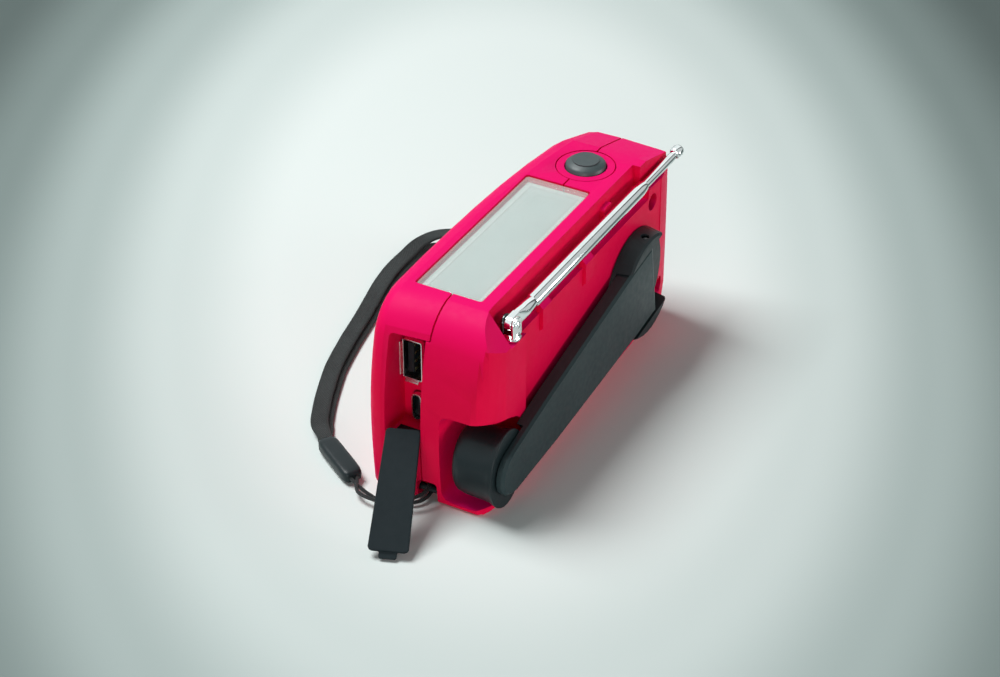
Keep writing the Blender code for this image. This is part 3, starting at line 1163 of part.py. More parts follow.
arm_pin_origin = crank_place @ Vector((-ARM_PIN_SET_BACK, arm_pin_y, 0.0))
crank_arm = solid("crank_arm", skin([arm_ring(arm_inner, 0.0), arm_ring(arm_outer - ARM_EDGE, 0.0),
                                     arm_ring(arm_outer, ARM_EDGE)]),
                  CRANK_GREY, place=crank_place, origin=arm_pin_origin)
fuse(crank_arm, guide(drum("Z", -ARM_PIN_SET_BACK, arm_pin_y, ARM_BARREL_RADIUS, FIT - ARM_HALF_WIDTH,
                           ARM_HALF_WIDTH - FIT, 16), crank_place))
ARM_HOLLOW_RADIUS = 0.0126
arm_tip_inner = arm_outer - ARM_TIP_THICKNESS
AXLE_RADIUS = 0.0015
AXLE_HEAD_RADIUS = 0.0028
AXLE_HEAD_HEIGHT = 0.0014
AXLE_SEAT = 0.0014
cut(crank_arm,
    guide(drum("Z", -ARM_PIN_SET_BACK, arm_pin_y, ARM_PIN_RADIUS + FIT, -ARM_HALF_WIDTH - OVERRUN,
               ARM_HALF_WIDTH + OVERRUN, SMALL_STEPS), crank_place),
    guide(drum("Y", CRANK_REACH, 0.0, ARM_HOLLOW_RADIUS, arm_inner - OVERRUN, arm_tip_inner), crank_place),
    guide(drum("Y", CRANK_REACH, 0.0, AXLE_RADIUS + FIT, arm_tip_inner - OVERRUN,
               arm_tip_inner + AXLE_SEAT + FIT,
               SMALL_STEPS), crank_place))
ARM_PIN_HALF_LENGTH = 0.0150
solid("arm_pin", drum("Z", -ARM_PIN_SET_BACK, arm_pin_y, ARM_PIN_RADIUS, -ARM_PIN_HALF_LENGTH,
                      ARM_PIN_HALF_LENGTH,
                      SMALL_STEPS), PLAIN_STEEL, place=crank_place)

# Handle knob: a waisted spool on its axle
HANDLE_LENGTH = 0.0136
handle_outer = arm_tip_inner - FIT
handle_inner = handle_outer - HANDLE_LENGTH
HANDLE_SHARES = ((0.70, 0.0), (0.84, 0.03), (0.92, 0.10), (0.95, 0.22), (0.96, 0.45), (0.965, 0.66),
                 (0.985, 0.80),
                 (1.015, 0.88), (1.05, 0.95), (1.05, 1.0))
handle_profile = [(0.0, handle_inner)]
for radius_share, length_share in HANDLE_SHARES:
    handle_profile.append((HANDLE_RADIUS * radius_share, handle_inner + HANDLE_LENGTH * length_share))
handle_profile.append((0.0, handle_outer))
handle_mesh = turned(handle_profile, "Y", 0.0, 0.0, 32)
handle_mesh.transform(Matrix.Diagonal((HANDLE_FLAT_SHARE, 1.0, 1.0, 1.0)))
crank_knob = solid("crank_knob", handle_mesh, BLACK_PLASTIC,
                   place=Matrix.Translation((HANDLE_X, 0.0, HANDLE_HEIGHT)),
                   origin=(HANDLE_X, handle_inner, HANDLE_HEIGHT))
cut(crank_knob,
    guide(drum("Y", HANDLE_X, HANDLE_HEIGHT, AXLE_RADIUS + FIT, handle_inner - OVERRUN,
               handle_outer + OVERRUN,
               SMALL_STEPS)),
    guide(drum("Y", HANDLE_X, HANDLE_HEIGHT, AXLE_HEAD_RADIUS + FIT, handle_inner - OVERRUN,
               handle_inner + AXLE_HEAD_HEIGHT + FIT + FIT, 16)))
axle_low = handle_inner + FIT
axle_shoulder = axle_low + AXLE_HEAD_HEIGHT
solid("knob_axle", turned(
    [(0.0, axle_low), (AXLE_HEAD_RADIUS, axle_low), (AXLE_HEAD_RADIUS, axle_shoulder),
     (AXLE_RADIUS, axle_shoulder),
     (AXLE_RADIUS, arm_tip_inner + AXLE_SEAT), (0.0, arm_tip_inner + AXLE_SEAT)],
    "Y", HANDLE_X, HANDLE_HEIGHT, SMALL_STEPS), PLAIN_STEEL)

# Gears of the generator, in mesh at rest
TOOTH_TIP_SHARE = 0.85
TOOTH_ROOT_SHARE = 1.25
TOOTH_SHARES = ((-1.0, 1.34), (0.0, 1.0), (1.0, 0.52))


def gear_outline(x, height, teeth, first_tooth_angle):
    """Teeth with straight flanks; the pitch thickness leaves the running fit on both flanks."""
    pitch_radius = GEAR_MODULE * teeth / 2
    half_thickness = pi * GEAR_MODULE / 4 - FIT / 2
    flank = []
    for level, thickness_share in TOOTH_SHARES:
        depth = GEAR_MODULE * (TOOTH_TIP_SHARE if level > 0 else TOOTH_ROOT_SHARE)
        flank.append((pitch_radius + level * depth, half_thickness * thickness_share / pitch_radius))
    points = []
    for tooth in range(teeth):
        middle = first_tooth_angle + 2 * pi * tooth / teeth
        for radius, half_angle in flank:
            points.append((x + radius * cos(middle - half_angle), height + radius * sin(middle - half_angle)))
        for radius, half_angle in reversed(flank):
            points.append((x + radius * cos(middle + half_angle), height + radius * sin(middle + half_angle)))
    return points


DRIVE_GEAR_LOW = 0.0126
DRIVE_GEAR_THICKNESS = 0.0030
MIDDLE_GEAR_LOW = 0.0083
MIDDLE_GEAR_THICKNESS = 0.0024
drive_gear_high = DRIVE_GEAR_LOW + DRIVE_GEAR_THICKNESS
middle_spread = GEAR_MODULE * (DRIVE_TEETH + MIDDLE_PINION_TEETH) / 2
middle_x = HUB_X + middle_spread * cos(MIDDLE_BEARING_ANGLE)
middle_height = HUB_HEIGHT + middle_spread * sin(MIDDLE_BEARING_ANGLE)
rotor_spread = GEAR_MODULE * (MIDDLE_TEETH + ROTOR_TEETH) / 2
rotor_x = middle_x + rotor_spread * cos(ROTOR_BEARING_ANGLE)
rotor_height = middle_height + rotor_spread * sin(ROTOR_BEARING_ANGLE)
drive_gear = solid("drive_gear", prism(
    gear_outline(HUB_X, HUB_HEIGHT, DRIVE_TEETH, MIDDLE_BEARING_ANGLE), "Y", DRIVE_GEAR_LOW, drive_gear_high),
    GEAR_NYLON, origin=hub_origin)
cut(drive_gear, guide(drum("Y", HUB_X, HUB_HEIGHT, SHAFT_RADIUS + FIT, DRIVE_GEAR_LOW - OVERRUN,
                           drive_gear_high + OVERRUN)))
GEAR_POST_RADIUS = 0.0015
middle_gear = solid("middle_gear", prism(
    gear_outline(middle_x, middle_height, MIDDLE_TEETH, ROTOR_BEARING_ANGLE), "Y", MIDDLE_GEAR_LOW,
    MIDDLE_GEAR_LOW + MIDDLE_GEAR_THICKNESS), GEAR_NYLON, origin=(middle_x, MIDDLE_GEAR_LOW, middle_height))
fuse(middle_gear, guide(prism(
    gear_outline(middle_x, middle_height, MIDDLE_PINION_TEETH,
                 MIDDLE_BEARING_ANGLE + pi + pi / MIDDLE_PINION_TEETH), "Y",
    MIDDLE_GEAR_LOW + MIDDLE_GEAR_THICKNESS / 2, drive_gear_high)))
cut(middle_gear, guide(drum("Y", middle_x, middle_height, GEAR_POST_RADIUS + FIT, MIDDLE_GEAR_LOW - OVERRUN,
                            drive_gear_high + OVERRUN, SMALL_STEPS)))

# Generator: can, and rotor with its pinion
PLATE_REAR_Y = 0.0075
PLATE_THICKNESS = 0.0016
CAN_RADIUS = 0.0100
CAN_SKIN = 0.0015
CAN_DEPTH = 0.0076
ROTOR_RADIUS = 0.0072
ROTOR_SHAFT_RADIUS = 0.0012
plate_front = PLATE_REAR_Y - PLATE_THICKNESS
can_rear = plate_front - FIT
can_front = can_rear - CAN_DEPTH
solid("generator_can", turned(
    [(0.0, can_front), (CAN_RADIUS, can_front), (CAN_RADIUS, can_rear), (CAN_RADIUS - CAN_SKIN, can_rear),
     (CAN_RADIUS - CAN_SKIN, can_front + CAN_SKIN), (0.0, can_front + CAN_SKIN)], "Y", rotor_x, rotor_height),
    PLAIN_STEEL)
rotor_low = can_front + CAN_SKIN + FIT
rotor_high = can_rear - FIT
generator_rotor = solid("generator_rotor", turned(
    [(0.0, rotor_low), (ROTOR_RADIUS, rotor_low), (ROTOR_RADIUS, rotor_high),
     (ROTOR_SHAFT_RADIUS, rotor_high),
     (ROTOR_SHAFT_RADIUS, drive_gear_high - DRIVE_GEAR_THICKNESS),
     (0.0, drive_gear_high - DRIVE_GEAR_THICKNESS)],
    "Y", rotor_x, rotor_height, SMALL_STEPS * 2), PLAIN_STEEL, origin=(rotor_x, rotor_low, rotor_height))
fuse(generator_rotor, guide(prism(
    gear_outline(rotor_x, rotor_height, ROTOR_TEETH, ROTOR_BEARING_ANGLE + pi + pi / ROTOR_TEETH), "Y",
    MIDDLE_GEAR_LOW, MIDDLE_GEAR_LOW + MIDDLE_GEAR_THICKNESS)))

# Gear plate with its bearings and the posts that hold it to the back panel
PLATE_FAR_X = -0.0405
PLATE_NEAR_X = 0.0135
PLATE_LOW = 0.0090
PLATE_HIGH = 0.0465
POST_RADIUS = 0.0018
POST_INSET = 0.0025
gear_plate = solid("gear_plate", prism(
    rounded(PLATE_FAR_X, PLATE_NEAR_X, PLATE_LOW, PLATE_HIGH, POST_INSET), "Y", plate_front, PLATE_REAR_Y),
    PLAIN_STEEL)
posts = [guide(drum("Y", middle_x, middle_height, GEAR_POST_RADIUS, plate_front + FIT, drive_gear_high + FIT,
                    SMALL_STEPS))]
for post_x in (PLATE_FAR_X + POST_INSET, PLATE_NEAR_X - POST_INSET):
    for post_height in (PLATE_LOW + POST_INSET, PLATE_HIGH - POST_INSET):
        posts.append(guide(drum("Y", post_x, post_height, POST_RADIUS, plate_front + FIT,
                                REAR_PANEL_INNER_Y - FIT, SMALL_STEPS)))
fuse(gear_plate, *posts)
cut(gear_plate,
    guide(drum("Y", HUB_X, HUB_HEIGHT, SHAFT_JOURNAL_RADIUS + FIT, plate_front - OVERRUN,
               PLATE_REAR_Y + OVERRUN)),
    guide(drum("Y", rotor_x, rotor_height, ROTOR_SHAFT_RADIUS + FIT, plate_front - OVERRUN,
               PLATE_REAR_Y + OVERRUN, SMALL_STEPS)))
HUB_SCREW_HEAD = 0.0033
HUB_SCREW_HEAD_HEIGHT = 0.0015
screw_face = SHAFT_END_Y - FIT
solid("hub_screw", turned(
    [(0.0, screw_face - HUB_SCREW_HEAD_HEIGHT), (HUB_SCREW_HEAD, screw_face - HUB_SCREW_HEAD_HEIGHT),
     (HUB_SCREW_HEAD, screw_face), (HUB_SCREW_BORE - FIT, screw_face),
     (HUB_SCREW_BORE - FIT, SHAFT_END_Y + HUB_SCREW_DEPTH - FIT), (0.0, SHAFT_END_Y + HUB_SCREW_DEPTH - FIT)],
    "Y", HUB_X, HUB_HEIGHT, SMALL_STEPS), PLAIN_STEEL)

# Antenna: post with a fork, tube with a tongue on the fork's pin, middle tube, rod with its cap
FORK_RADIUS = 0.0024
FORK_EAR = 0.0012
TONGUE_HALF = 0.00075
ANTENNA_PIN_RADIUS = 0.0007
COLLAR_RADIUS = 0.0029
COLLAR_HEIGHT = 0.0010
TONGUE_LENGTH = 0.0100
TUBE_BORE_START_X = 0.0240
MIDDLE_START_X = 0.0220
MIDDLE_BORE_START_X = 0.0160
ROD_START_X = 0.0100
TIP_RADIUS = 0.00185
TIP_LENGTH = 0.0036
TIP_EDGE = 0.0007
antenna_origin = (ANTENNA_X, ANTENNA_Y, ANTENNA_HEIGHT)
collar_low = CHANNEL_FLOOR + FIT
fork_half = TONGUE_HALF + FIT + FORK_EAR
fork_foot = ANTENNA_HEIGHT - FORK_RADIUS - FIT
antenna_post = solid("antenna_post", turned(
    [(0.0, CHANNEL_FLOOR - ANTENNA_STEM_LENGTH), (ANTENNA_STEM_RADIUS, CHANNEL_FLOOR - ANTENNA_STEM_LENGTH),
     (ANTENNA_STEM_RADIUS, collar_low), (COLLAR_RADIUS, collar_low),
     (COLLAR_RADIUS, collar_low + COLLAR_HEIGHT),
     (FORK_RADIUS, collar_low + COLLAR_HEIGHT), (FORK_RADIUS, fork_foot), (0.0, fork_foot)],
    "Z", ANTENNA_X, ANTENNA_Y, 16), CHROME, origin=antenna_origin)
fuse(antenna_post,
     guide(prism(rectangle(ANTENNA_X - FORK_RADIUS, ANTENNA_X + FORK_RADIUS, collar_low + COLLAR_HEIGHT,
                           ANTENNA_HEIGHT), "Y", ANTENNA_Y - fork_half, ANTENNA_Y + fork_half)),
     guide(drum("Y", ANTENNA_X, ANTENNA_HEIGHT, FORK_RADIUS, ANTENNA_Y - fork_half, ANTENNA_Y + fork_half,
                16)))
cut(antenna_post,
    guide(prism(rectangle(ANTENNA_X - COLLAR_RADIUS, ANTENNA_X + COLLAR_RADIUS, fork_foot,
                          ANTENNA_HEIGHT + COLLAR_RADIUS), "Y", ANTENNA_Y - TONGUE_HALF - FIT,
                ANTENNA_Y + TONGUE_HALF + FIT)),
    guide(drum("Y", ANTENNA_X, ANTENNA_HEIGHT, ANTENNA_PIN_RADIUS + FIT, ANTENNA_Y - COLLAR_RADIUS,
               ANTENNA_Y + COLLAR_RADIUS, SMALL_STEPS)))
solid("antenna_pin", drum("Y", ANTENNA_X, ANTENNA_HEIGHT, ANTENNA_PIN_RADIUS, ANTENNA_Y - fork_half,
                          ANTENNA_Y + fork_half, SMALL_STEPS), CHROME)
tube_start = ANTENNA_X - FORK_RADIUS - TONGUE_LENGTH / 2
antenna_tube = solid("antenna_tube", drum("X", ANTENNA_Y, ANTENNA_HEIGHT, ANTENNA_TUBE_RADIUS,
                                          ANTENNA_TUBE_END_X,
                                          tube_start, 14), CHROME, origin=antenna_origin)
tongue_reach = ANTENNA_X - FORK_RADIUS - TONGUE_LENGTH
fuse(antenna_tube,
     guide(prism(rectangle(tongue_reach, ANTENNA_X, ANTENNA_HEIGHT - FORK_RADIUS + FIT,
                           ANTENNA_HEIGHT + FORK_RADIUS - FIT), "Y", ANTENNA_Y - TONGUE_HALF,
                 ANTENNA_Y + TONGUE_HALF)),
     guide(drum("Y", ANTENNA_X, ANTENNA_HEIGHT, FORK_RADIUS - FIT, ANTENNA_Y - TONGUE_HALF,
                ANTENNA_Y + TONGUE_HALF, 16)))
cut(antenna_tube,
    guide(drum("Y", ANTENNA_X, ANTENNA_HEIGHT, ANTENNA_PIN_RADIUS + FIT, ANTENNA_Y - COLLAR_RADIUS,
               ANTENNA_Y + COLLAR_RADIUS, SMALL_STEPS)),
    guide(drum("X", ANTENNA_Y, ANTENNA_HEIGHT, ANTENNA_MIDDLE_RADIUS + FIT, ANTENNA_TUBE_END_X - OVERRUN,
               TUBE_BORE_START_X, 14)))
antenna_middle = solid("antenna_middle", drum("X", ANTENNA_Y, ANTENNA_HEIGHT, ANTENNA_MIDDLE_RADIUS,
                                              ANTENNA_MIDDLE_END_X, MIDDLE_START_X, 14), CHROME)
cut(antenna_middle, guide(drum("X", ANTENNA_Y, ANTENNA_HEIGHT, ANTENNA_ROD_RADIUS + FIT,
                               ANTENNA_MIDDLE_END_X - OVERRUN, MIDDLE_BORE_START_X, 14)))
cap_near = ANTENNA_MIDDLE_END_X - FIT
cap_far = cap_near - TIP_LENGTH
solid("antenna_rod", turned(
    [(0.0, ROD_START_X), (ANTENNA_ROD_RADIUS, ROD_START_X), (ANTENNA_ROD_RADIUS, cap_near),
     (TIP_RADIUS, cap_near), (TIP_RADIUS, cap_far + TIP_EDGE), (TIP_RADIUS - TIP_EDGE, cap_far),
     (0.0, cap_far)],
    "X", ANTENNA_Y, ANTENNA_HEIGHT, 14), CHROME)

# Sockets: formed steel shells, each with its tongue
SHELL_SKIN = 0.0004
USB_A_CORNER = 0.0006
USB_A_LENGTH = 0.0140
USB_C_LENGTH = 0.0075
TONGUE_BLOCK = 0.0040
USB_A_TONGUE_HALF = 0.0009
USB_A_TONGUE_SHIFT = 0.0010
USB_C_TONGUE_HALF = 0.00035
USB_A_TONGUE_MARGIN = 0.0013
TONGUE_RECESS = 0.0012


def socket(prefix, y, height, width, thickness, length, corner, tongue_half, tongue_shift, tongue_margin):
    """A steel shell along X with a moulded tongue; the tongue's block fills the back of the shell."""
    back = SOCKET_RIM_X - length
    half_y = thickness / 2
    half_z = width / 2
    shell = solid(prefix + "_shell", prism(
        rounded(y - half_y, y + half_y, height - half_z, height + half_z, corner, 3), "X", back,
        SOCKET_RIM_X),
        SOCKET_STEEL)
    inner_y = half_y - SHELL_SKIN
    inner_z = half_z - SHELL_SKIN
    cut(shell, guide(prism(
        rounded(y - inner_y, y + inner_y, height - inner_z, height + inner_z, corner - SHELL_SKIN, 3), "X",
        back + SHELL_SKIN, SOCKET_RIM_X + OVERRUN)))
    block_back = back + SHELL_SKIN + FIT
    block = solid(prefix + "_tongue", prism(
        rounded(y - inner_y + FIT, y + inner_y - FIT, height - inner_z + FIT, height + inner_z - FIT,
                corner / 2, 2), "X", block_back, block_back + TONGUE_BLOCK), BLACK_PLASTIC)
    fuse(block, guide(prism(
        rectangle(y + tongue_shift - tongue_half, y + tongue_shift + tongue_half,
                  height - inner_z + tongue_margin,
                  height + inner_z - tongue_margin), "X", block_back + TONGUE_BLOCK / 2,
        SOCKET_RIM_X - TONGUE_RECESS)))


socket("usb_a", USB_A_Y, USB_A_HEIGHT, USB_A_WIDTH, USB_A_THICKNESS, USB_A_LENGTH, USB_A_CORNER,
       USB_A_TONGUE_HALF, -USB_A_TONGUE_SHIFT, USB_A_TONGUE_MARGIN)
socket("usb_c", USB_C_Y, USB_C_HEIGHT, USB_C_WIDTH, USB_C_THICKNESS, USB_C_LENGTH,
       USB_C_THICKNESS / 2 - SHELL_SKIN / 4, USB_C_TONGUE_HALF, 0.0, USB_C_THICKNESS / 4)

# Port flap: local frame with its x square to the hinge, hanging down along -z before it is opened
FLAP_WIDTH = 0.0096
FLAP_TIP_WIDTH = 0.0113
FLAP_LENGTH = 0.0345
FLAP_THICKNESS = 0.0014
FLAP_LIP = 0.0020
FLAP_LIP_WIDTH = 0.0050
FLAP_X = 0.0601
FLAP_Y = -0.0058
FLAP_HINGE_HEIGHT = 0.0238
FLAP_YAW = radians(20.5)
FLAP_OPEN = radians(52.6)
FLAP_CORNER = 0.0010
FLAP_ROOT_LENGTH = 0.0024
FLAP_ROOT_MARGIN = 0.0009
FLAP_ROOT_THICKNESS = 0.0014
flap_place = (Matrix.Translation((FLAP_X, FLAP_Y, FLAP_HINGE_HEIGHT)) @ Matrix.Rotation(FLAP_YAW, 4, "Z")
              @ Matrix.Rotation(-FLAP_OPEN, 4, "Y"))
flap_outline = []
for across_flap, along_flap in rounded(-FLAP_WIDTH / 2, FLAP_WIDTH / 2, -FLAP_LENGTH, 0.0, FLAP_CORNER, 2):
    widening = 1 - (FLAP_TIP_WIDTH / FLAP_WIDTH - 1) * along_flap / FLAP_LENGTH
    flap_outline.append((across_flap * widening, along_flap))
port_flap = solid("port_flap", prism(flap_outline, "X", -FLAP_THICKNESS, 0.0),
    FLAP_RUBBER, place=flap_place, origin=(FLAP_X, FLAP_Y, FLAP_HINGE_HEIGHT))
fuse(port_flap, guide(prism(
    rounded(-FLAP_LIP_WIDTH / 2, FLAP_LIP_WIDTH / 2, -FLAP_LENGTH - FLAP_LIP, -FLAP_LENGTH + FLAP_CORNER,
            FLAP_CORNER / 2, 2), "X", -FLAP_THICKNESS, -FLAP_THICKNESS / 2), flap_place))
root_low = PORT_LOW + FIT
solid("flap_root", prism(
    rounded(FLAP_Y - FLAP_WIDTH / 2 + FLAP_ROOT_MARGIN, FLAP_Y + FLAP_WIDTH / 2 - FLAP_ROOT_MARGIN, root_low,
            root_low + FLAP_ROOT_THICKNESS, FLAP_ROOT_THICKNESS / 4, 2), "X",
    FLAP_X - FLAP_THICKNESS * 2 - FLAP_ROOT_LENGTH, FLAP_X - FLAP_THICKNESS * 2), FLAP_RUBBER)

# Wrist strap: pin in the casing, cord looped round it, slider bead, and webbing laid double
solid("lanyard_pin", drum("Y", LANYARD_PIN_X, LANYARD_PIN_HEIGHT, LANYARD_PIN_RADIUS,
                          NOTCH_FRONT_Y - LANYARD_PIN_SEAT, NOTCH_REAR_Y + LANYARD_PIN_SEAT - FIT,
                          SMALL_STEPS),
      BLACK_PLASTIC)
BEAD_X = 0.0617
BEAD_Y = -0.0213
BEAD_LENGTH = 0.0188
BEAD_WIDTH = 0.0060
BEAD_HEIGHT = 0.0044
BEAD_YAW = radians(236.5)
BEAD_CORNER = 0.0011
BEAD_POCKET = 0.0030
bead_place = Matrix.Translation((BEAD_X, BEAD_Y, 0.0)) @ Matrix.Rotation(BEAD_YAW, 4, "Z")
STRAP_LAYER_GAP = 0.0004
STRAP_SIDE_SHIFT = 0.0007
WEBBING_PINCH_SHARE = 0.78
lower_layer = FIT + WEBBING_THICKNESS / 2
upper_layer = lower_layer + WEBBING_THICKNESS + STRAP_LAYER_GAP
CORD_SPREAD = 0.0010
cord_height = (FIT + BEAD_HEIGHT) / 2
pinched_half = WEBBING_WIDTH / 2 * WEBBING_PINCH_SHARE
bead_stack_half = WEBBING_THICKNESS + STRAP_LAYER_GAP / 2 + FIT
strap_bead = solid("strap_bead", prism(
    rounded(-BEAD_WIDTH / 2, BEAD_WIDTH / 2, FIT, BEAD_HEIGHT, BEAD_CORNER), "X", 0.0, BEAD_LENGTH),
    BLACK_PLASTIC, place=bead_place)
cord_pocket = CORD_DIAMETER / 2 + FIT
cut(strap_bead,
    guide(prism(rectangle(-CORD_SPREAD - cord_pocket, CORD_SPREAD + cord_pocket, cord_height - cord_pocket,
                          cord_height + cord_pocket), "X", -OVERRUN, BEAD_POCKET), bead_place),
    guide(prism(rectangle(-pinched_half - FIT, pinched_half + FIT, cord_height - bead_stack_half,
                          cord_height + bead_stack_half), "X", BEAD_LENGTH - BEAD_POCKET,
                BEAD_LENGTH + OVERRUN), bead_place))


def smooth_route(points, pieces):
    """Catmull-Rom points through a route, evenly spaced by length."""
    dense = []
    padded = [points[0] * 2 - points[1], *points, points[-1] * 2 - points[-2]]
    for k in range(1, len(padded) - 2):
        a, b, c, d = padded[k - 1:k + 3]
        for step in range(16):
            t = step / 16
            dense.append(0.5 * ((2 * b) + (c - a) * t + (2 * a - 5 * b + 4 * c - d) * t * t
                                + (3 * b - a - 3 * c + d) * t ** 3))
    dense.append(points[-1])
    lengths = [0.0]
    for first, second in zip(dense, dense[1:]):
        lengths.append(lengths[-1] + (second - first).length)
    result = []
    k = 0
    for piece in range(pieces + 1):
        target = lengths[-1] * piece / pieces
        while k < len(lengths) - 2 and lengths[k + 1] < target:
            k += 1
        share = (target - lengths[k]) / (lengths[k + 1] - lengths[k])
        result.append(dense[k].lerp(dense[k + 1], min(share, 1.0)))
    return result, lengths[-1]


def bead_point(along, across, height):
    return bead_place @ Vector((along, across, height))


# Route of the cord: out of the bead, under the flap, round the pin and back
CORD_FREE_HEIGHT = 0.0012
cord_loop = LANYARD_PIN_RADIUS + FIT + CORD_DIAMETER / 2
loop_y = (NOTCH_FRONT_Y + NOTCH_REAR_Y) / 2 + FIT
CORD_LOWER_ROUTE = ((0.0645, -0.0168, 0.0016), (0.0657, -0.0115, 0.0012), (0.0650, -0.0060, 0.0012),
                    (0.0625, -0.0018, 0.0013), (0.0598, 0.0001, 0.0014))
CORD_UPPER_ROUTE = ((0.0602, 0.0010, 0.0048), (0.0640, -0.0012, 0.0040), (0.0672, -0.0054, 0.0032),
                    (0.0681, -0.0112, 0.0027), (0.0667, -0.0172, 0.0024))
cord_points = [bead_point(BEAD_POCKET - FIT, CORD_SPREAD, cord_height),
               bead_point(0.0, CORD_SPREAD, cord_height)]
cord_points += [Vector(point) for point in CORD_LOWER_ROUTE]
for k in range(6):
    angle = -pi / 2 - pi * k / 5
    cord_points.append(Vector((LANYARD_PIN_X + cord_loop * cos(angle), loop_y,
                               LANYARD_PIN_HEIGHT + cord_loop * sin(angle))))
cord_points += [Vector(point) for point in CORD_UPPER_ROUTE]
cord_points += [bead_point(0.0, -CORD_SPREAD, cord_height),
                bead_point(BEAD_POCKET - FIT, -CORD_SPREAD, cord_height)]
cord_path, cord_length = smooth_route(cord_points, 44)
cord_curve = bpy.data.curves.new("strap_cord", "CURVE")
cord_curve.dimensions = "3D"
cord_curve.bevel_depth = CORD_DIAMETER / 2
cord_curve.bevel_resolution = 2
cord_curve.use_fill_caps = True
cord_spline = cord_curve.splines.new("POLY")
cord_spline.points.add(len(cord_path) - 1)
for spot, point in zip(cord_spline.points, cord_path):
    spot.co = (*point, 1.0)
cord_curve.materials.append(STRAP_FABRIC)
bpy.context.scene.collection.objects.link(bpy.data.objects.new("strap_cord", cord_curve))

# Route of the webbing: along the ground round the front, with an open fold at the far end, and back on top
WEBBING_ROUTE = ((0.0438, -0.0430), (0.0386, -0.0458), (0.0333, -0.0483), (0.0277, -0.0506),
                 (0.0220, -0.0528),
                 (0.0160, -0.0548), (0.0034, -0.0579), (-0.0093, -0.0605), (-0.0231, -0.0638),
                 (-0.0300, -0.0652), (-0.0374, -0.0661), (-0.0454, -0.0661), (-0.0512, -0.0653),
                 (-0.0555, -0.0622), (-0.0571, -0.0570), (-0.0571, -0.0500))
WEBBING_FOLD_RADIUS = 0.0030
fold_steps = 8
lower = [bead_point(BEAD_LENGTH - BEAD_POCKET + FIT, 0.0, 0.0), bead_point(BEAD_LENGTH, 0.0, 0.0)]
lower += [Vector((x, y, 0.0)) for x, y in WEBBING_ROUTE]
plan, plan_length = smooth_route(lower, 40)


def across(points, k):
    """Level direction square to the route at one point."""
    ahead = points[min(k + 1, len(points) - 1)] - points[max(k - 1, 0)]
    return Vector((ahead.y, -ahead.x, 0.0)).normalized()


half_width = WEBBING_WIDTH / 2
half_thick = WEBBING_THICKNESS / 2
rings = []


def webbing_ring(centre, side, up, width_share=1.0):
    reach = side * half_width * width_share
    return [centre - reach - up * half_thick, centre + reach - up * half_thick,
            centre + reach + up * half_thick,
            centre - reach + up * half_thick]


UP = Vector((0.0, 0.0, 1.0))
LIFT_SHARE = 0.80
WEBBING_DROP = 0.0090
last = len(plan) - 1
fold_lift = WEBBING_FOLD_RADIUS * 2 - (upper_layer - lower_layer)
bead_lift = cord_height - (lower_layer + upper_layer) / 2


def near_bead(k):
    """1 inside the bead, falling smoothly to 0 where the webbing has come down to the ground."""
    share = min(max((plan_length * k / last - BEAD_POCKET) / WEBBING_DROP, 0.0), 1.0)
    return 1 - share * share * (3 - 2 * share)


for k, point in enumerate(plan):
    side = across(plan, k)
    near = near_bead(k)
    spot = point + side * STRAP_SIDE_SHIFT * (1 - near) + UP * (lower_layer + bead_lift * near)
    rings.append(webbing_ring(spot,
                              side, UP, 1 - near * (1 - WEBBING_PINCH_SHARE)))
end_side = across(plan, last)
end_ahead = Vector((-end_side.y, end_side.x, 0.0))
fold_centre = plan[last] + UP * (lower_layer + WEBBING_FOLD_RADIUS)
for k in range(1, fold_steps):
    angle = -pi / 2 + pi * k / fold_steps
    out = end_ahead * cos(angle) + UP * sin(angle)
    shift = end_side * STRAP_SIDE_SHIFT * (1 - 2 * k / fold_steps)
    rings.append(webbing_ring(fold_centre + shift + out * WEBBING_FOLD_RADIUS, end_side, -out))
for k in range(last, -1, -1):
    side = across(plan, k)
    near = near_bead(k)
    share = max(0.0, (k / last - LIFT_SHARE) / (1 - LIFT_SHARE))
    lift = fold_lift * share * share * (3 - 2 * share) + bead_lift * near
    spot = plan[k] - side * STRAP_SIDE_SHIFT * (1 - near) + UP * (upper_layer + lift)
    rings.append(webbing_ring(spot, side, -UP,
                              1 - near * (1 - WEBBING_PINCH_SHARE)))
solid("strap_webbing", skin(rings), STRAP_FABRIC)
webbing_length = plan_length * 2 + pi * WEBBING_FOLD_RADIUS
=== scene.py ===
"""A portable hand cranked radio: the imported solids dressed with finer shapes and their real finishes."""
import bmesh
import bpy
import json
from math import cos, pi, radians, sin
from mathutils import Matrix, Vector


